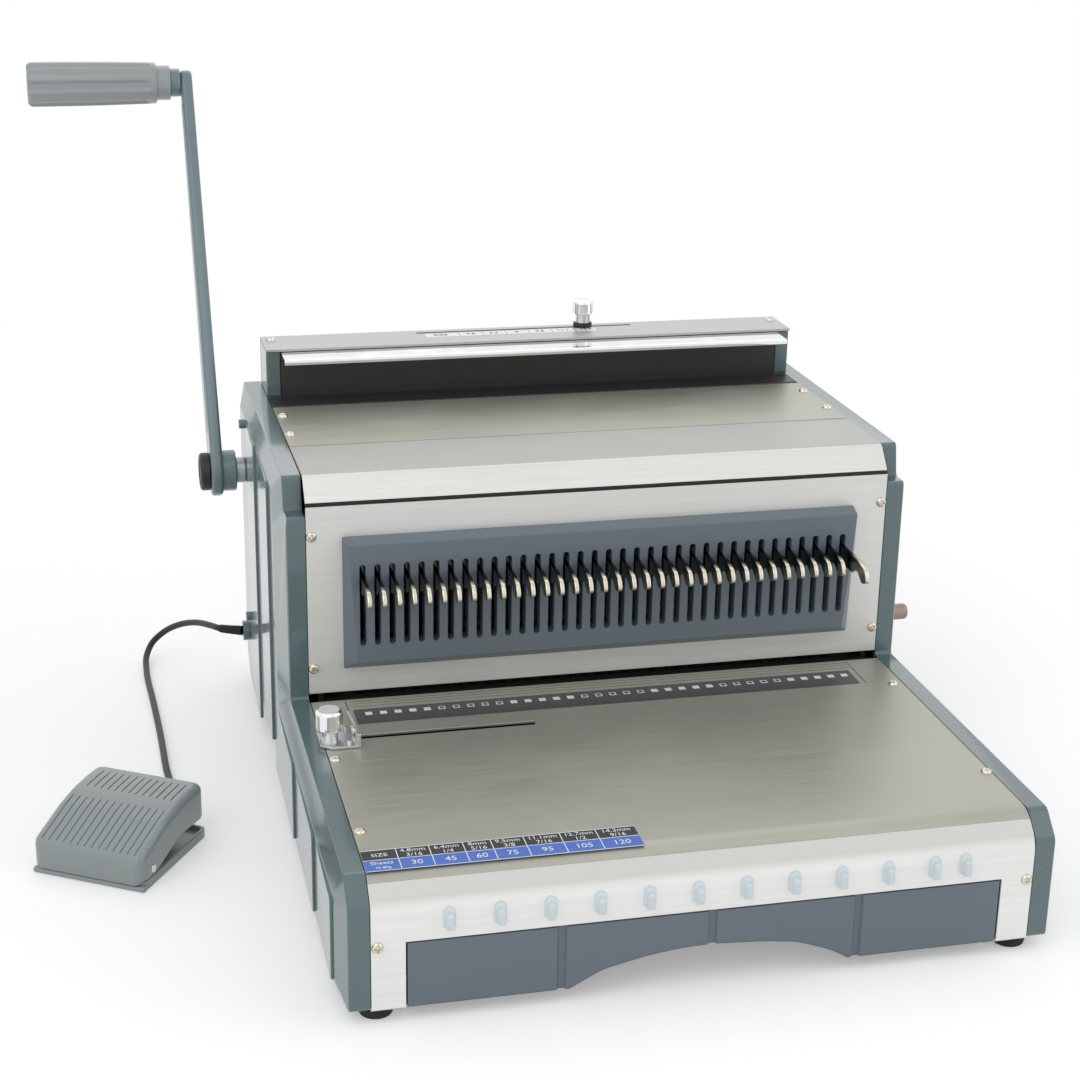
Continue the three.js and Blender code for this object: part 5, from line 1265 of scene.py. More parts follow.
@dataclass
class CombPlate:
    """The slate plate with its row of slots, and the hooks that reach through them."""

    count: int = 35
    pitch: float = 25.4 / 3
    slot_width: float = 3.5
    slot: Span = (112.3, 161.5)
    half: float = 154.0
    low: float = 95.0
    high: float = 175.5
    depth: float = 10.7
    back: float = -1.0
    side_top: float = 1.3
    side_bottom: float = 6.6
    taper: float = 1.5
    front_lift: float = 6.2
    rim: float = 0.8
    hook_thick: float = 2.5
    hook_root: float = 20.3
    hook_top: float = 155.0
    hook_height: float = 12.0
    hook_reach: float = 37.5
    long_extra: float = 15.0
    shares: Line = (
        (-0.64, 0.0), (-0.907, 0.167), (-0.987, 0.5), (-1.0, 0.79), (-0.827, 1.0), (-0.72, 0.75),
        (-0.613, 0.54), (-0.507, 0.667), (-0.427, 0.875),
    )
    rack_x: float = 158.0
    rack_half: float = 3.0
    rack_back: float = 25.0
    rack_line: float = 30.0
    rack_first: float = 160.0
    rack_span: Span = (155.0, 194.0)
    teeth: int = 8
    module: float = 1.5
    pressure: float = 20.0

    def places(self) -> Array:
        """The x of each slot."""
        return (np.arange(self.count) - (self.count - 1) / 2) * self.pitch

    def slot_outline(self, x: float, grow: float) -> Array:
        """A slot's outline, a capsule standing on end, grown by a distance."""
        radius = self.slot_width / 2
        low, high = (x, self.slot[0] + radius), (x, self.slot[1] - radius)
        return counterclockwise(capsule(low, radius + grow, high, radius + grow, 6))

    def plate(self) -> None:
        """The plate: a tapered rim rolled at its front, a pierced face, and the slots' walls."""
        bottom, top = self.half - self.side_bottom, self.half - self.side_top
        low, high = self.low + self.front_lift, self.high - self.taper
        front = softened([(-bottom, low), (bottom, low), (top, high), (-top, high)], 1.2, 4)
        behind = box_outline((-self.half, self.half), (self.low, self.high), 1.2, 4)
        back_edge, front_edge = drawn_in(behind, 2.0), drawn_in(front, self.rim)
        rings = [(back_edge, self.back), (behind, -0.3)]
        rings += [(drawn_in(front, lift), -self.depth + inset)
                  for inset, lift in zip(*quarter(self.rim))]
        bare = (False, False)
        chamfer = ((0.45, -self.depth), (0.13, 0.13 - self.depth), (0.0, 0.45 - self.depth),
                   (0.0, self.back))
        walls = [lofted([(self.slot_outline(x, grow), y) for grow, y in chamfer], Y, bare).flipped()
                 for x in self.places()]
        mouths, ends = ([self.slot_outline(x, grow) for x in self.places()] for grow in (0.45, 0.0))
        face = pierced(front_edge, mouths, -self.depth, Y, False)
        back_face = pierced(back_edge, ends, self.back, Y, True)
        made = joined(lofted(rings, Y, bare), face, back_face, *walls)
        piece("comb_face", made, Look.COMB, "comb_plate", crease=40.0)

    def hook(self, x: float, extra: float) -> Surface:
        """One hook: a flat blade with a soft beak, its edges rolled over."""
        top, height = self.hook_top, self.hook_height
        beak = [(share * self.hook_reach - extra, top - down * height)
                for share, down in self.shares]
        corners = [(self.hook_root, top), *beak, (self.hook_root, top - 0.875 * height)]
        half = self.hook_thick / 2
        return slab(softened(corners, 2.2, 3), X, about(x, half), 0.55, 2)

    def carriage(self) -> None:
        """The hooks, the bar that carries them behind the panel, and its two racks."""
        extras = np.where(np.arange(self.count) == self.count - 1, self.long_extra, 0.0)
        hooks = joined(*[self.hook(x, extra) for x, extra in zip(self.places(), extras)])
        piece("hook_blades", hooks, Look.HOOK, "hook_carriage", body="hooks", crease=30.0)
        y, z = (20.0, 30.0), (140.0, 158.0)
        ends = [block(about(x, 1.0), y, z, 0.4) for x in (-164.0, 164.0)]
        bar = block((-152.0, 152.0), y, z, 0.5)
        low = block((-164.5, 164.5), (20.2, 29.8), (140.2, 148.8), 0.4)
        racks = [self.rack(x) for x in (-self.rack_x, self.rack_x)]
        piece("hook_bar", joined(bar, low, *ends, *racks), Look.STEEL, body="hooks")

    def rack(self, x: float) -> Surface:
        """An upright rack: a back strip with trapezoid teeth."""
        pitch = math.pi * self.module
        centres = self.rack_first + pitch * np.arange(self.teeth)
        half = pitch / 4 * 0.8
        slope = math.tan(math.radians(self.pressure))
        root_lean, tip_lean = 1.25 * self.module * slope, self.module * slope
        root, tip = self.rack_line - 1.25 * self.module, self.rack_line + self.module
        profile = ((root, -half - root_lean), (tip, -half + tip_lean), (tip, half - tip_lean),
                   (root, half + root_lean))
        teeth = [np.stack([np.full(self.teeth, y), centres + z], axis=1) for y, z in profile]
        low, high = self.rack_span
        outline = np.concatenate([[(self.rack_back, low)], np.stack(teeth, axis=1).reshape(-1, 2),
                                  [(self.rack_back, high)]])
        return slab(outline, X, about(x, self.rack_half), 0.15, 1)

    def build(self) -> None:
        """Makes the plate and the hook carriage."""
        self.plate()
        self.carriage()


@dataclass
class PegRow:
    """The row of pale locating pegs on the table's front face.

    A step of a peg has its width, its lower and upper ends, how proud it stands and its rim.
    """

    width: float = 5.2
    strip: Area = ((1.8, 3.8), (49.5, 61.1))
    root: float = 2.5
    steps: tuple[tuple[float, float, float, float, float], ...] = (
        (6.6, 50.9, 62.2, 0.6, 0.3), (6.0, 51.2, 61.6, 2.6, 1.2), (4.0, 50.9, 59.4, 5.4, 1.6),
    )

    def build(self, places: Array) -> None:
        """Each peg is a stepped arch: a thin flange over the hole, a base, and a narrower nose."""
        (near, far), z = self.strip
        span = (places[0] - self.width, places[-1] + self.width)
        parts = [block(span, (APRON_Y + near, APRON_Y + far), z, 0.4)]
        for x in places:
            for width, low, high, proud, soft in self.steps:
                top = circle((x, high - width / 2), width / 2, 24)[:13]
                outline = np.concatenate([[(x - width / 2, low), (x + width / 2, low)], top])
                parts.append(slab(outline, Y, (APRON_Y - proud, APRON_Y + self.root), soft, 3))
        piece("peg_row", joined(*parts), Look.PEG, "peg_strip")


@dataclass
class ChipDrawer:
    """The chip drawer: a moulded front with three grooves and a finger arch, and its tray."""

    half: float = 156.1
    bottom: float = 8.0
    top: float = 43.6
    thick: float = 3.5
    edge: float = 0.5
    rim: float = 0.6
    columns: int = 181
    grooves: tuple[float, ...] = (-78.35, 0.0, 78.35)
    groove_lines: tuple[float, ...] = (-2.6, -2.2, -1.8, -1.4, 0.0, 1.4, 1.8, 2.2, 2.6)
    groove_half: float = 2.0
    groove_depth: float = 1.5
    arch_half: float = 74.0
    arch_rise: float = 16.8
    arch: Line = ((-1.0, 0.0), (-0.77, 0.53), (-0.45, 0.84), (-0.19, 0.98), (0.0, 1.0),
                              (0.35, 0.9), (0.61, 0.76), (0.74, 0.56), (0.88, 0.32), (1.0, 0.0))
    tray_x: float = 152.0
    tray_y: Span = (-164.2, 29.8)
    tray_rings: Line = ((7.3, 1.0), (7.6, 0.3), (8.3, 0.0), (38.7, 0.0), (39.2, 0.4), (39.3, 1.0),
                                    (39.2, 1.6), (38.7, 2.0), (10.5, 2.0), (9.3, 3.2))

    def front(self) -> Surface:
        """The front's skin as a grid of x and height share.

        The lower edge z0(x) follows the arch; a point lies at z0 + v (z1 - z0), and stands back by
        the groove's depth times a ramp over the distance to the nearest groove. More rows carry the
        skin over rolled edges and round to the back.
        """
        lines = np.add.outer(self.grooves, np.array(self.groove_lines)).ravel()
        even = np.linspace(-self.half, self.half, self.columns)
        x = np.unique(np.round(np.concatenate([even, lines, [-self.arch_half, self.arch_half]]), 3))
        x = x[np.abs(x) <= self.half]
        arch = softened(self.arch, 0.09, 6, closed=False)
        rise = np.interp(x / self.arch_half, arch[:, 0], arch[:, 1], left=0.0, right=0.0)
        low = self.bottom + self.arch_rise * rise
        near = np.min(np.abs(x[:, None] - np.array(self.grooves)), axis=1)
        face = APRON_Y + self.groove_depth * np.clip((self.groove_half + 0.4 - near) / 0.8, 0, 1)
        back = np.full_like(x, APRON_Y + self.thick)
        rolls = list(zip(*quarter(self.rim)))[1:]
        height = self.top - low - 2 * self.rim
        rows = [(low, back)] + [(low + inset, face + lift) for inset, lift in rolls]
        rows += [(low + self.rim + share * height, face) for share in np.linspace(0, 1, 5)]
        rows += [(np.full_like(x, self.top - inset), face + lift) for inset, lift in rolls]
        rows.append((np.full_like(x, self.top), back))
        edge = self.edge - np.minimum(self.half - np.abs(x), self.edge)
        points = np.array([np.stack([x, y + edge, z], axis=1) for z, y in rows])
        numbers = np.arange(len(rows))
        ends = [Surface(points[:, 0], (numbers[None, ::-1],)),
                Surface(points[:, -1], (numbers[None],))]
        return joined(skin(points), skin(np.stack([points[-1], points[0]])), *ends)

    def tray(self) -> Surface:
        """The tray: rings climb outside its walls, over the rim and down to the floor inside.

        Two cheeks carry it on either side of the finger pocket.
        """
        outer = box_outline((-self.tray_x, self.tray_x), self.tray_y, 4.0)
        cheeks = [block(about(x, 1.0), (-222.6, -160.0), (7.4, 39.2), 0.4) for x in (-151.0, 151.0)]
        return joined(cup(outer, self.tray_rings), *cheeks)

    def build(self) -> None:
        """Makes the drawer."""
        piece("drawer_front", self.front(), Look.DRAWER, "chip_drawer", body="drawer", crease=45.0)
        piece("drawer_tray", self.tray(), Look.DRAWER, body="drawer")


@dataclass
class WireCloser:
    """The wire closer: end caps, back wall, lifting bed, chrome lip, slotted plate, size knob."""

    half: float = 165.7
    cap: Bar = ((166.0, 175.0), (184.0, 217.2), (207.5, 237.3))
    wall: Span = (184.0, 186.0)
    wall_z: Span = (198.3, 235.0)
    lip: Span = (160.5, 200.6)
    lip_top: float = 237.3
    top_span: Span = (182.0, 219.0)
    slot: Area = ((-73.5, 72.0), (209.0, 212.0))
    bed: Area = ((162.4, 183.7), (204.0, 207.5))
    cam_x: float = 140.0
    legs: tuple[tuple[float, Span, Span, float], ...] = (
        (4.0, (176.0, 183.0), (167.0, 204.3), 0.4), (4.0, (176.0, 193.0), (171.9, 179.9), 0.4),
        (3.9, (191.5, 192.5), (169.45, 172.4), 0.2),
    )
    scale_y: Span = (198.0, 207.2)
    scale_x: Span = (-69.0, 46.0)
    sizes: tuple[tuple[str, float, float], ...] = (
        ("SIZE", -67.8, 9.0), ("4.8", -46.0, 7.0), ("6.4", -30.4, 7.0), ("8", -14.8, 7.0),
        ("9.5", 0.8, 7.0), ("11.1", 16.4, 7.0), ("12.7", 32.0, 7.0),
    )
    knob: Span = (38.8, 210.5)
    knob_sides: int = 96
    knob_profile: Line = (
        (0.0, 3.3), (5.0, 3.3), (5.1, 3.5), (5.1, 8.4), (5.5, 9.0), (6.6, 9.3), (6.95, 9.7),
        (6.95, 10.2), (6.95, 16.2), (6.95, 16.7), (6.6, 17.5), (6.1, 17.9), (0.0, 18.0),
    )
    collar_profile: Line = (
        (0.0, 0.3), (5.9, 0.3), (6.25, 0.6), (6.25, 2.9), (5.9, 3.25), (0.0, 3.4),
    )

    def shell(self) -> None:
        """The two moulded end caps, and the black wall between them."""
        x, y, z = self.cap
        body = slab(box_outline(y, z, 1.6, 4), X, x, 0.9, 3)
        piece("end_cap_right", body, Look.COVER, "closer_end_cap_right")
        piece("end_cap_left", body.mirrored(), Look.COVER, "closer_end_cap_left")
        wall = block((-self.half, self.half), self.wall, self.wall_z, 0.4)
        piece("closer_wall", wall, Look.BLACK_SHEET, "closer_back_wall")

    def chrome_lip(self) -> None:
        """The chrome lip: a plate whose front edge folds down in a tight round."""
        (front, back), top = self.lip, self.lip_top
        corners = [(back, top), (back, top - 2.0), (front + 1.6, top - 2.0),
                   (front + 1.5, top - 3.5), (front, top - 3.5), (front, top)]
        outline = softened(corners, (0.3, 0.3, 0.7, 0.5, 0.7, 1.6), 5)
        made = slab(outline, X, (-self.half, self.half), 0.4, 2)
        piece("chrome_lip", made, Look.CHROME, "closer_lip")

    def top_plate(self) -> None:
        """The silver top plate, folded down behind, with the size slot."""
        reach = self.cap[0][1]
        front, back = self.top_span
        corners = [(back, self.cap[2][0]), (back, CLOSER_TOP), (front, CLOSER_TOP)]
        profile = with_lines(softened(corners, (0, 1.8, 0), 5, closed=False), 0, self.slot[1][::-1])
        gone = [(*self.slot, (CLOSER_TOP - 1.1, CLOSER_TOP + 0.9))]
        made = sheet([-reach, reach, *self.slot[0]], profile, gone)
        piece("closer_top_sheet", made, Look.CLOSER_SHEET, "closer_top_plate", thick=1.5, rim=0.25)

    def scale(self) -> None:
        """The size scale on the top plate: a pale strip, its dividers and the wire sizes."""
        strip = block(self.scale_x, self.scale_y, (CLOSER_TOP - 0.05, CLOSER_TOP + 0.12), 0.04)
        piece("size_scale", strip, Look.LABEL_WHITE)
        raised = (CLOSER_TOP + 0.05, CLOSER_TOP + 0.16)
        marks = [block((x - 0.9, x), self.scale_y, raised, 0.03) for _, x, _ in self.sizes[1:]]
        piece("size_marks", joined(*marks), Look.CLOSER_SHEET)
        words = [lettering(size, 5.0, (x + shift, 202.6, CLOSER_TOP + 0.2))
                 for size, x, shift in self.sizes]
        piece("size_numbers", joined(*words), Look.LABEL_GREY)

    def jaw(self) -> None:
        """The lifting bed with a rounded front edge, and its two legs down to the lever's cams."""
        (front, back), (low, high) = self.bed
        corners = [(front, low), (back, low), (back, high), (front, high)]
        outline = softened(corners, (0.5, 0.5, 0.5, 1.4), 4)
        parts = [slab(outline, X, (-PANEL_HALF, PANEL_HALF), 0.5, 2)]
        parts += [block(about(x, half), y, z, rim)
                  for x in (-self.cam_x, self.cam_x) for half, y, z, rim in self.legs]
        piece("closing_bed", joined(*parts), Look.BLACK_SHEET, "closing_jaw", body="jaw")

    def size_knob(self) -> None:
        """The chrome size knob on its black collar: a slim neck, and a finely fluted head."""
        raised = np.array((0.0, CLOSER_TOP))
        wave = flutes(self.knob_profile, (9.9, 16.4), 0.14, 32, self.knob_sides)
        knob = revolved(self.knob_profile + raised, Z, self.knob, self.knob_sides, wave)
        piece("size_knob_head", knob, Look.CHROME, "size_knob", body="size_clamp")
        collar = revolved(self.collar_profile + raised, Z, self.knob)
        piece("size_knob_collar", collar, Look.BLACK, body="size_clamp")

    def build(self) -> None:
        """Makes the closer."""
        self.shell()
        self.chrome_lip()
        self.top_plate()
        self.scale()
        self.jaw()
        self.size_knob()


@dataclass
class Lever:
    """The hand lever on the left: hub, arm, cap, collar and the turning grip."""

    foot: Span = (192.0, 157.8)
    length: float = 267.5
    tilt: float = 30.6
    inner: float = 204.7
    thick: float = 7.7
    gap: float = 0.3
    foot_radius: float = 16.0
    head_radius: float = 8.0
    panel: Area = ((0.13, 9.0), (0.93, 3.6))
    panel_rise: float = 0.28
    hub_radius: float = 13.2
    hub_inner: float = 196.05
    cap_radius: float = 12.2
    cap_length: float = 6.3
    collar_radius: float = 8.2
    collar_span: Span = (190.05, 195.75)
    neck_length: float = 6.5
    waist_length: float = 9.1
    grip_length: float = 83.9
    grip_radii: Span = (13.8, 14.85)
    grip_swell: float = 0.35
    grip_rim: float = 3.4
    grooves: int = 6
    groove_depth: float = 1.7
    sides: int = 160

    def head(self) -> Array:
        """The grip's centre, at the arm's end."""
        tilt = math.radians(self.tilt)
        return np.array(self.foot) + self.length * np.array((math.sin(tilt), math.cos(tilt)))

    def arm(self) -> None:
        """The arm: a tapering capsule with broad rounded edges and a long panel, and its hub."""
        head = self.head()
        low, high = self.inner, self.inner + self.thick
        outline = capsule(self.foot, self.foot_radius, head, self.head_radius, 20)
        (start, start_radius), (end, end_radius) = self.panel
        first, last = (self.foot + share * (head - self.foot) for share in (start, end))
        panel = capsule(first, start_radius, last, end_radius, 16)
        raised = slab(panel, X, (low - self.panel_rise, high + self.panel_rise), 0.5, 3)
        hub = rod(X, self.foot, self.hub_radius, (self.hub_inner, low + 1.0), 0.8, 64)
        made = joined(slab(outline, X, (low, high), 2.3, 5), raised, hub).mirrored()
        piece("arm_and_hub", made, Look.ARM, "lever_arm", body="lever")

    def cap_and_collar(self) -> None:
        """The black hub cap with a chamfer and a sunk middle, and the pale collar by the cover."""
        start = self.inner + self.thick + self.gap
        end, radius = start + self.cap_length, self.cap_radius
        profile = [(0.0, start), (radius - 0.4, start), (radius, start + 0.4), (radius, end - 1.5),
                   (radius - 0.3, end - 1.0), (radius - 1.4, end - 0.1), (radius - 2.0, end),
                   (radius - 3.4, end), (radius - 3.8, end - 0.5), (0.0, end - 0.6)]
        cap = revolved(profile, X, self.foot, 64).mirrored()
        piece("lever_cap", cap, Look.BLACK, "hub_cap", body="lever")
        collar = ring(X, self.foot, self.collar_radius, 6.3, self.collar_span, 0.6)
        piece("lever_collar", collar.mirrored(), Look.NYLON, "shaft_collar")

    def grip(self) -> None:
        """The turning grip: a boss, a neck and a body whose lengthwise grooves end near the neck.

        The radius at station s and angle a is R(s) - d w(s) c(a), where w rises from 0 to 1 over
        the body's first few millimetres, and c is a flattened half wave, the lesser of 1 and
        1.6 max(0, cos(n a)).
        """
        start = self.inner + self.thick + self.gap
        neck = start + self.neck_length
        body = neck + self.waist_length
        end = body + self.grip_length
        near, far = (body + 1.2, body + 9.0, 14), (body + 12.0, end - 3.6, 20)
        s = np.concatenate([np.linspace(*near), np.linspace(*far)])
        share = (s - body) / (end - body)
        swell = self.grip_radii[0] + (self.grip_radii[1] - self.grip_radii[0]) * share
        swell += self.grip_swell * (np.sin(math.pi * share) - 1)
        lead = [(4.4, neck + 0.05), (10.9, neck + 0.05), (11.35, neck + 0.5), (11.35, body - 0.6),
                (12.2, body - 0.1), (13.2, body + 0.3)]
        insets, lifts = (sizes[1:] for sizes in quarter(self.grip_rim, 6))
        tail = np.stack([swell[-1] - lifts, end - insets], axis=1)
        profile = np.concatenate([lead, np.stack([swell, s], axis=1), tail,
                                  [(7.2, end), (6.8, end - 0.5), (0.0, end - 0.6)]])
        rise = np.sqrt(np.clip((profile[:, 1] - body - 4.0) / 4.0, 0, 1)) * (profile[:, 0] > 9.0)
        lobes = np.minimum(1.6 * np.clip(np.cos(self.grooves * headings(self.sides)), 0, 1), 1.0)
        wave = self.groove_depth * rise[:, None] * lobes[None, :]
        made = revolved(profile, X, self.head(), self.sides, wave)
        piece("grip_body", made.mirrored(), Look.GRIP, "lever_grip", body="grip", crease=50.0)
        boss = ring(X, self.head(), 9.2, 4.4, (start, neck), 0.5)
        piece("grip_boss", boss.mirrored(), Look.ARM, body="grip")

    def build(self) -> None:
        """Makes the lever."""
        self.arm()
        self.cap_and_collar()
        self.grip()


@dataclass
class EdgeGuide:
    """The edge guide in the table's slot: a plate with a fence, two pins and a clamping knob."""

    knob: Span = (-170.5, -57.2)
    base: Bar = ((-177.0, -155.0), (-72.0, -45.0), (77.7, 79.2))
    radius: float = 7.6
    height: float = 12.4
    base_z: float = 83.2
    screw_foot: float = 71.0
    sides: int = 96
    fence_top: float = 85.9
    fence_end: Span = (-25.0, 79.4)
    fence_thick: float = 1.8
    fence_screw: Span = (-57.0, 81.4)
    pins: Line = ((-161.0, -67.5), (-161.0, -49.5))

    def bracket(self) -> None:
        """The base plate, the fence that slopes down to the back, its screw, and the tongue."""
        (left, right), (front, back), (low, high) = self.base
        corners = [(left, front + 4.0), (left + 6.0, front), (right, front), (right, back),
                   (left + 3.0, back), (left, back - 3.0)]
        plate = slab(softened(corners, 1.2, 4), Z, (low, high), 0.3, 2)
        clear = low + 0.25
        fence = [(front, low), (front, self.fence_top), self.fence_end, (self.fence_end[0], clear),
                 (back + 1.0, clear), (back, low)]
        inside = right - self.fence_thick
        upright = slab(softened(fence[::-1], 0.5, 3), X, (inside, right), 0.3, 2)
        screw = rod(X, self.fence_screw, 2.0, (inside - 1.1, inside + 0.1), 0.45, 20)
        tongue = block((-165.0, -155.3), (-59.4, -55.0), (76.2, 78.9), 0.3)
        stem = rod(Z, self.knob, 4.6, (high - 0.3, self.base_z - 0.05), 0.2, 32)
        pins = [rod(Z, place, 1.4, (high - 0.3, high + 1.5), 0.4, 16) for place in self.pins]
        made = joined(plate, upright, screw, tongue, stem, *pins)
        piece("guide_bracket", made, Look.PLATED, "edge_guide", body="guide")

    def clamp(self) -> None:
        """The knob: a fluted drum with a chamfered rim, a dished top and its screw below."""
        low, high, radius = self.base_z, self.base_z + self.height, self.radius
        profile = [(0.0, low), (radius - 1.4, low), (radius - 0.3, low + 0.7), (radius, low + 1.3),
                   (radius, low + 2.0), (radius, high - 2.2), (radius, high - 1.5),
                   (radius - 0.4, high - 0.7), (radius - 1.2, high - 0.1), (radius - 1.8, high),
                   (radius - 2.6, high - 0.1), (0.0, high - 0.5)]
        wave = flutes(profile, (low + 1.6, high - 1.8), 0.16, 32, self.sides)
        head = revolved(profile, Z, self.knob, self.sides, wave)
        screw = rod(Z, self.knob, 1.5, (self.screw_foot, self.base[2][0] - 0.05), 0.3, 20)
        piece("guide_knob_head", joined(head, screw), Look.CHROME, "guide_knob", body="guide_clamp")

    def build(self) -> None:
        """Makes the guide."""
        self.bracket()
        self.clamp()


@dataclass
class TablePrint:
    """What is printed or stuck on the table: the ruler strip and the chart of sheet counts."""

    film: float = 0.03
    ruler: Area = ((-152.0, 149.0), (-40.5, -20.5))
    mark: tuple[float, Span] = (2.0, (-29.3, -25.3))
    middle: tuple[float, Span] = (1.3, (-28.6, -26.0))
    group: int = 5
    line_half: float = 0.2
    line_x: Span = (-152.0, 152.0)
    line_y: tuple[float, ...] = (-8.9, -12.3, -16.2)
    frame_x: Span = (152.6, -155.0)
    frame_y: Span = (-41.0, -8.0)
    chart_x: Span = (-174.0, -33.3)
    rows: Area = ((-201.2, -191.0), (-212.5, -201.2))
    divider_half: float = 0.25
    dividers: tuple[float, ...] = (-156.3, -139.6, -122.4, -108.2, -91.3, -72.5, -53.8)
    heads: tuple[tuple[str, float, float], ...] = (
        ("SIZE", 4.6, -196.4), ("Sheets", 4.4, -204.6), ("70-80g", 2.9, -209.4),
    )
    entries: tuple[tuple[tuple[str, ...], float, float], ...] = (
        (("30", "45", "60", "75", "95", "105", "120"), 6.2, -206.8),
        (("4.8mm", "6.4mm", "8mm", "9.5mm", "11.1mm", "12.7mm", "14.3mm"), 4.7, -193.9),
        (("3/16", "1/4", "5/16", "3/8", "7/16", "1/2", "9/16"), 4.7, -198.6),
    )
    letter_z: float = 0.22

    def plate(self, x: Span, y: Span, low: float, high: float) -> Surface:
        """A film on the table between two heights above it."""
        return block(x, y, (TABLE_TOP + low, TABLE_TOP + high), self.film)

    def build_ruler(self, places: Array) -> None:
        """The dark strip, its square marks in alternate groups of five, and the lines behind it."""
        piece("ruler_strip", self.plate(*self.ruler, -0.05, 0.18), Look.LABEL_GREY)
        (half, y), (middle_half, middle_y) = self.mark, self.middle
        marks = [self.plate(about(x, half), y, 0.1, 0.26) for x in places]
        middles = [self.plate(about(x, middle_half), middle_y, 0.2, 0.3)
                   for k, x in enumerate(places) if (k // self.group) % 2]
        piece("ruler_marks", joined(*marks), Look.LABEL_WHITE)
        piece("ruler_mark_middles", joined(*middles), Look.LABEL_GREY)
        lines = [(self.line_x, about(y, self.line_half)) for y in self.line_y]
        lines += [((x, x + 0.6), self.frame_y) for x in self.frame_x]
        drawn = joined(*[self.plate(*line, -0.02, 0.05) for line in lines])
        piece("table_lines", drawn, Look.ENGRAVED)

    def build_chart(self) -> None:
        """The chart: a black row and a blue row, white dividers and a frame, and the numbers."""
        for name, row, look in zip(("chart_black", "chart_blue"), self.rows,
                                     (Look.LABEL_BLACK, Look.LABEL_BLUE)):
            piece(name, self.plate(self.chart_x, row, -0.05, 0.14), look)
        black, blue = self.rows
        half = self.divider_half
        lines = [(about(x, half), (blue[0], black[1])) for x in self.dividers]
        lines += [(self.chart_x, about(y, half)) for y in (black[1], black[0], blue[0] + half)]
        dividers = joined(*[self.plate(*line, 0.1, 0.2) for line in lines])
        piece("chart_dividers", dividers, Look.LABEL_WHITE)
        edges = np.array([self.chart_x[0], *self.dividers, self.chart_x[1]])
        middles = (edges[1:] + edges[:-1]) / 2
        words = [(word, size, (middles[0], y)) for word, size, y in self.heads]
        words += [(word, size, (x, y)) for row, size, y in self.entries
                  for word, x in zip(row, middles[1:])]
        letters = [lettering(word, size, (*place, TABLE_TOP + self.letter_z))
                   for word, size, place in words]
        piece("chart_numbers", joined(*letters), Look.LABEL_WHITE)

    def build(self, places: Array) -> None:
        """Makes the prints."""
        self.build_ruler(places)
        self.build_chart()


@dataclass
class DepthDial:
    """The margin dial on the right cover: a knurled rod with a domed end, and its inner pin."""

    centre: Span = (33.0, 91.0)
    span: Span = (163.3, 207.7)
    knurled_from: float = 192.0
    knurl: float = 0.13
    knurl_count: int = 40
    sides: int = 120
    pin: Span = (33.0, 93.5)

    def build(self) -> None:
        """The rod, whose radius sways by about a tenth of a millimetre where it is knurled."""
        low, high = self.span
        profile = [(0.0, low), (4.6, low), (5.0, low + 0.4), (5.0, 189.9), (4.6, 190.2),
                   (4.6, 191.4), (5.0, 191.8), (5.0, 192.4), (5.0, high - 3.0), (5.0, high - 2.4),
                   (4.7, high - 1.2), (4.0, high - 0.4), (2.6, high - 0.05), (0.0, high)]
        knurled = (self.knurled_from, high - 2.6)
        wave = flutes(profile, knurled, self.knurl, self.knurl_count, self.sides)
        shaft = revolved(profile, X, self.centre, self.sides, wave)
        pin = rod(X, self.pin, 3.0, (157.3, 163.6), 0.3, 24)
        piece("dial_rod", joined(shaft, pin), Look.DIAL, "depth_dial", body="dial")


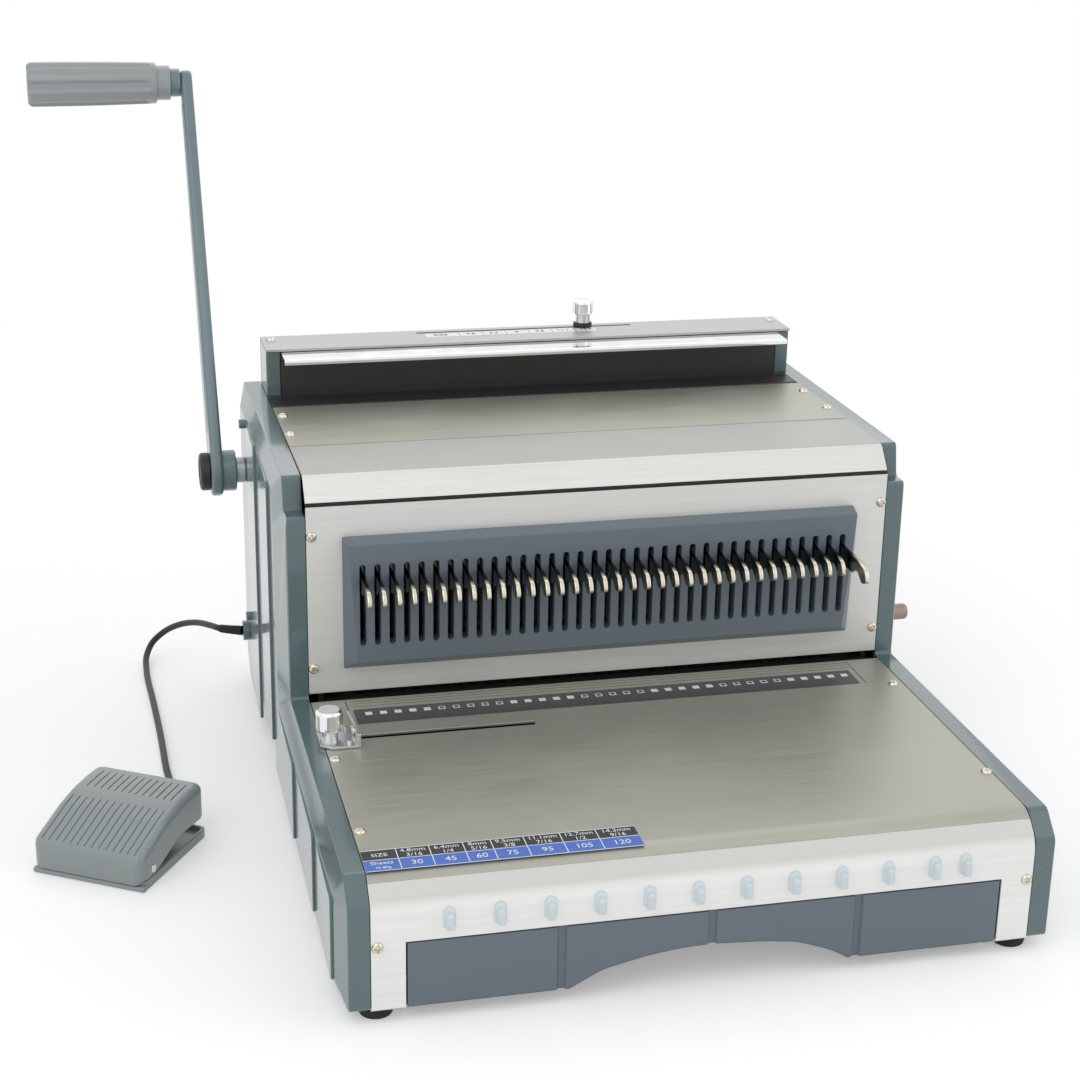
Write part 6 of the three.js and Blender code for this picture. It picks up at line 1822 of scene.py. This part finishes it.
@dataclass
class Pedal:
    """The foot pedal: a ribbed treadle over a shallow base, with its pin, in its own frame."""

    place: Spot = (-335.1, -33.8, 0.0)
    turn: float = -32.33
    width: float = 69.4
    length: float = 75.0
    rise: float = 34.5
    wall: float = 2.0
    corner: float = 6.0
    roll: float = 4.2
    crisp: float = 2.4
    top: Line = ((0.0, 0.55), (0.027, 0.6), (0.4, 0.87), (0.59, 0.957), (0.72, 0.977),
                             (0.91, 1.0), (0.985, 0.985), (1.0, 0.97))
    skirt: Line = ((0.0, 0.116), (0.03, 0.18), (0.213, 0.19), (0.573, 0.44), (0.9, 0.406),
                               (1.0, 0.49))
    ribs: tuple[tuple[Span, Span, int], ...] = (
        ((5.5, 63.5), (2.5, 38.5), 14), ((8.5, 62.0), (47.0, 66.5), 13),
    )
    rib_depth: float = 0.7
    rib_half: float = 0.5
    rib_ease: float = 0.25
    base_rings: Line = ((0.0, 0.5), (0.15, 0.15), (0.5, 0.0), (4.7, 0.0), (5.2, 0.15), (5.5, 0.6),
                                    (5.45, 1.6), (5.1, 2.0), (3.0, 2.0), (2.5, 2.6))
    ear_y: Span = (8.0, 16.0)
    pin: Span = (12.0, 10.0)
    spring_foot: Spot = (34.7, 51.0, 3.44)
    spring_height: float = 27.0
    spring_radius: float = 5.0
    spring_wire: float = 0.6
    spring_turns: int = 6
    spring_samples: int = 145
    spring_keep: float = 0.82

    def set_down(self, *parts: Surface) -> Surface:
        """Surfaces of the pedal's own frame as one, turned and put at the pedal's place."""
        turn = Matrix.Rotation(math.radians(self.turn), 3, "Z")
        return joined(*parts).turned(turn).moved(self.place)

    def lines(self) -> tuple[Array, Array]:
        """The grid's u and s lines: close at the rolled edges and at each groove, even between."""
        edge = quarter(self.roll, 6)[1]
        across, down = ([edge, size - edge, np.linspace(edge[-1], size - edge[-1], count)]
                        for size, count in ((self.width, 24), (self.length - 1.0, 28)))
        profile = np.array([-0.5, -0.25, 0.0, 0.25, 0.5])
        for (left, right), (near, far), count in self.ribs:
            across.append(np.add.outer(np.linspace(left, right, count), profile).ravel())
            down.append(np.array([near, near + 0.7, far - 0.7, far]))
        u, s = (np.unique(np.round(np.concatenate(values), 3)) for values in (across, down))
        return u, s

    def grooves(self, across: Array, down: Array) -> Array:
        """How deep each point of the grid lies in a groove, from nought to one."""
        depth = np.zeros_like(across)
        for (left, right), (near, far), count in self.ribs:
            gap = np.min(np.abs(across[..., None] - np.linspace(left, right, count)), axis=-1)
            ends = np.clip((down - near) / 0.7, 0, 1) * np.clip((far - down) / 0.7, 0, 1)
            depth = np.maximum(depth, np.clip((self.rib_half - gap) / self.rib_ease, 0, 1) * ends)
        return depth

    def treadle(self) -> Surface:
        """The treadle's skin over a grid of u across and s along.

        Near a corner a point keeps its larger distance d from the inner rectangle but turns onto a
        circle of that radius. The height is h(s), less the roll R - sqrt(R^2 - (R - e)^2) at the
        distance e < R from the edge, counted more than once at the crisper front, less a groove's
        depth. A border of one more row all round hangs down to the skirt's edge.
        """
        length = self.length - 1.0
        across, down = np.meshgrid(*self.lines(), indexing="ij")
        core = np.stack([np.clip(across, self.corner, self.width - self.corner),
                         np.clip(down, self.corner, length - self.corner)], axis=-1)
        away = np.stack([across, down], axis=-1) - core
        largest, diagonal = np.max(np.abs(away), axis=-1), np.linalg.norm(away, axis=-1)
        flat = core + away * (largest / np.maximum(diagonal, TINY))[..., None]
        edges = [across, self.width - across, self.crisp * down, length - down]
        inside = np.clip(self.roll - np.minimum.reduce(edges), 0, self.roll)
        drop = self.roll - np.sqrt(np.maximum(self.roll**2 - inside**2, 0))
        top = softened(self.top, 0.05, 5, closed=False)
        height = np.interp(flat[..., 1] / self.length, top[:, 0], top[:, 1]) * self.rise
        height += self.roll * 0.12
        z = np.minimum(height, self.rise) - drop - self.rib_depth * self.grooves(across, down)
        points = np.concatenate([flat, z[..., None]], axis=-1)
        hung = np.pad(points, ((1, 1), (1, 1), (0, 0)), mode="edge")
        skirt = np.array(self.skirt)
        border = np.ones(hung.shape[:2], bool)
        border[1:-1, 1:-1] = False
        foot = np.interp(hung[..., 1] / self.length, skirt[:, 0], skirt[:, 1]) * self.rise
        hung[..., 2] = np.where(border, foot, hung[..., 2])
        return skin(hung).flipped()

    def base(self) -> None:
        """The base: rings climb outside its wall, over the rim and down to its floor; two ears."""
        outline = box_outline((0.0, self.width), (2.6, self.length), 5.0, 5)
        ears = [block(x, self.ear_y, (2.3, 14.0), 0.5, 3.0) for x in ((6.0, 10.0), (59.4, 63.4))]
        boss = rod(Y, (self.width * 0.576, 3.4), 3.35, (74.5, 83.0), 0.8, 24)
        plinth = block((0.0, self.width), (0.2, 5.0), (0.0, 3.3), 0.4, 2.0)
        made = self.set_down(cup(outline, self.base_rings), plinth, *ears, boss)
        piece("base_cup", made, Look.PEDAL, "pedal_base", crease=40.0)

    def spring(self) -> None:
        """The return spring: a helix rising from the base, with a mesh of its own."""
        share = np.linspace(0, 1, self.spring_samples)
        flat = radial(self.spring_radius, share * ROUND * self.spring_turns)
        helix = np.concatenate([flat, share[:, None] * self.spring_height], axis=1)
        surface = self.set_down(tube(helix + np.array(self.spring_foot), self.spring_wire, 8))
        coil = piece("return_spring", surface, Look.STEEL, "pedal_spring")
        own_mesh(coil)

    def build(self) -> None:
        """Makes the spring, the treadle, the base, and the pin with its pale heads."""
        self.spring()
        treadle = self.set_down(self.treadle())
        piece("treadle_skin", treadle, Look.PEDAL, "pedal_treadle", body="treadle", crease=40.0,
              thick=self.wall)
        ears = [block(x, self.ear_y, (6.3, 21.4), 0.5, 3.0) for x in ((10.3, 14.3), (55.1, 59.1))]
        rib = block((33.7, 35.7), (25.0, 29.0), (14.5, 27.6), 0.3)
        piece("treadle_ears", self.set_down(*ears, rib), Look.PEDAL, body="treadle")
        heads = [rod(X, self.pin, 2.4, span, 0.4, 24) for span in ((-0.5, 0.4), (69.0, 70.1))]
        piece("pin_heads", self.set_down(*heads), Look.PLATED, body="treadle")
        self.base()
        pin = rod(X, self.pin, 2.0, (2.3, 67.1), 0.3, 24)
        piece("hinge_pin", self.set_down(pin), Look.STEEL, "pedal_pin")


@dataclass
class RearFittings:
    """The power inlet, the main switch and its rocker on the rear cover."""

    inlet_x: float = 110.0
    switch_x: float = 70.0
    z: float = 45.0
    face: float = 228.3
    tall: float = 11.0
    flange: float = 3.0
    mouth: float = 2.0
    pin_pitch: float = 7.0
    rocker: Line = ((221.3, 41.0), (229.3, 36.6), (228.9, 45.0), (229.3, 53.4), (221.3, 49.0))
    rocker_half: float = 4.7
    mark_y: Span = (228.9, 229.35)

    def box(self, x: float, half: float, grow: float, reach: float) -> Array:
        """The outline of a fitting, grown by a distance."""
        wide, tall = half + grow, self.tall + grow
        return box_outline(about(x, wide), (self.z - tall, self.z + tall), reach)

    def hollow_part(self, x: float, half: float, depth: float) -> Surface:
        """A flanged box: rings run up its outside, round the flange, and down inside."""
        shell, flange, mouth = (self.box(x, half, grow, reach) for grow, reach in (
            (0.0, 1.0), (self.flange, 2.0), (-self.mouth, 1.2)))
        face = self.face
        rings = [(shell, REAR_Y - depth), (shell, face), (flange, face), (flange, face + 1.6),
                 (drawn_in(flange, 0.5), face + 2.0), (drawn_in(mouth, -0.4), face + 2.0),
                 (mouth, face + 1.6), (mouth, face - depth + 5.0)]
        return lofted(rings, Y).flipped()

    def build(self) -> None:
        """Makes the inlet with its three pins, the switch frame and the rocker with its marks."""
        pins = []
        for step in (-1, 0, 1):
            x, low = self.inlet_x + step * self.pin_pitch, 43.5 - abs(step)
            pins.append(block(about(x, 1.0), (215.0, 225.3), (low, low + 3.0), 0.4))
        inlet = self.hollow_part(self.inlet_x, 14.0, 17.0)
        switch = self.hollow_part(self.switch_x, 7.0, 14.0)
        piece("inlet_shell", inlet, Look.BLACK, "power_inlet")
        piece("inlet_pins", joined(*pins), Look.NICKEL)
        piece("switch_frame", switch, Look.BLACK, "switch_housing")
        x, half = self.switch_x, self.rocker_half
        rocker = slab(softened(self.rocker, 1.0, 4), X, about(x, half), 0.5, 3)
        piece("rocker_key", rocker, Look.BLACK, "rocker_switch", body="rocker")
        bar = block(about(x, 0.4), self.mark_y, (48.2, 51.4), 0.1)
        marks = joined(bar, ring(Y, (x, 40.2), 1.7, 1.1, self.mark_y, 0.1))
        piece("rocker_marks", marks, Look.LABEL_WHITE, body="rocker")


@dataclass
class RubberFeet:
    """The four feet: turned rubber discs with a rolled lower edge and a screw hole."""

    places: tuple[tuple[str, Span], ...] = (
        ("foot_front_left", (-170.25, -212.9)), ("foot_front_right", (170.25, -212.9)),
        ("foot_rear_left", (-165.25, 206.0)), ("foot_rear_right", (165.25, 206.0)),
    )
    profile: Line = ((0.0, 1.6), (3.2, 1.6), (3.4, 0.3), (3.7, 0.0), (7.6, 0.0), (8.3, 0.3),
                                 (8.6, 0.9), (9.0, 4.3), (8.8, 4.7), (0.0, 4.7))

    def build(self) -> None:
        """Makes the feet."""
        for node, place in self.places:
            piece(f"{node}_pad", revolved(self.profile, Z, place), Look.RUBBER, node)


@dataclass
class InnerNodes:
    """The nodes inside that stay as they are, by their finishes."""

    nodes: tuple[tuple[Look, tuple[str, ...]], ...] = (
        (Look.STEEL, ("base_plate", "size_slider", "lever_shaft", "grip_pin", "carriage_shaft",
            "coupling_rod", "punch_shaft", "drive_gear", "motor_pinion", "motor_mount",
            "depth_stop")),
        # Painted shade: these inner parts take the darkened steel, which stands in for the shade in
        # the throat and gaps.
        (Look.DARK_STEEL, ("right_frame_plate", "left_frame_plate", "die_plate", "stripper_plate",
            "punch_bar")),
        (Look.ZINC, ("shaft_bush_left", "shaft_bush_right", "guide_nut", "gearbox")),
        (Look.BLACK_SHEET, ("motor",)),
        (Look.BOARD, ("control_board",)),
        (Look.COVER, ("cord_gland",)),
        (Look.BLACK, ("pedal_switch",)),
    )

    def build(self) -> None:
        """Gives the nodes their finishes."""
        for look, names in self.nodes:
            for name in names:
                mesh = frame["nodes"][name].data
                mesh.materials.clear()
                mesh.materials.append(look.value.material())
                log.info("%s: %s", name, look.value.name)


def keep_sizes(name: str, sizes: dict[str, list[list[float]]]) -> None:
    """Adds the object's box to the sizes."""
    sizes[name] = [list(corner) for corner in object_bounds()]


def main() -> None:
    """Builds the classes in order, and reports each piece that each of them makes."""
    logging.basicConfig(level=logging.INFO, format="%(message)s")
    sizes: dict[str, list[list[float]]] = {}
    keep_sizes("cad", sizes)
    sheets, comb = SheetBody(), CombPlate()
    steps = (
        (Studio(),), (PedalCord(),), (sheets,), (SideCovers(),), (comb,),
        (PegRow(), sheets.peg_places()), (ChipDrawer(),), (WireCloser(),), (Lever(),),
        (EdgeGuide(),), (TablePrint(), comb.places()), (DepthDial(),), (Pedal(),),
        (RearFittings(),), (Screws(),), (RubberFeet(),), (InnerNodes(),),
    )
    for part, *places in steps:
        known = set(bpy.data.objects.keys())
        part.build(*places)
        for name in bpy.data.objects.keys():
            if name not in known:
                log.info("%s: %s", type(part).__name__, name)
    keep_sizes("visual", sizes)


if __name__ == "__main__":
    main()
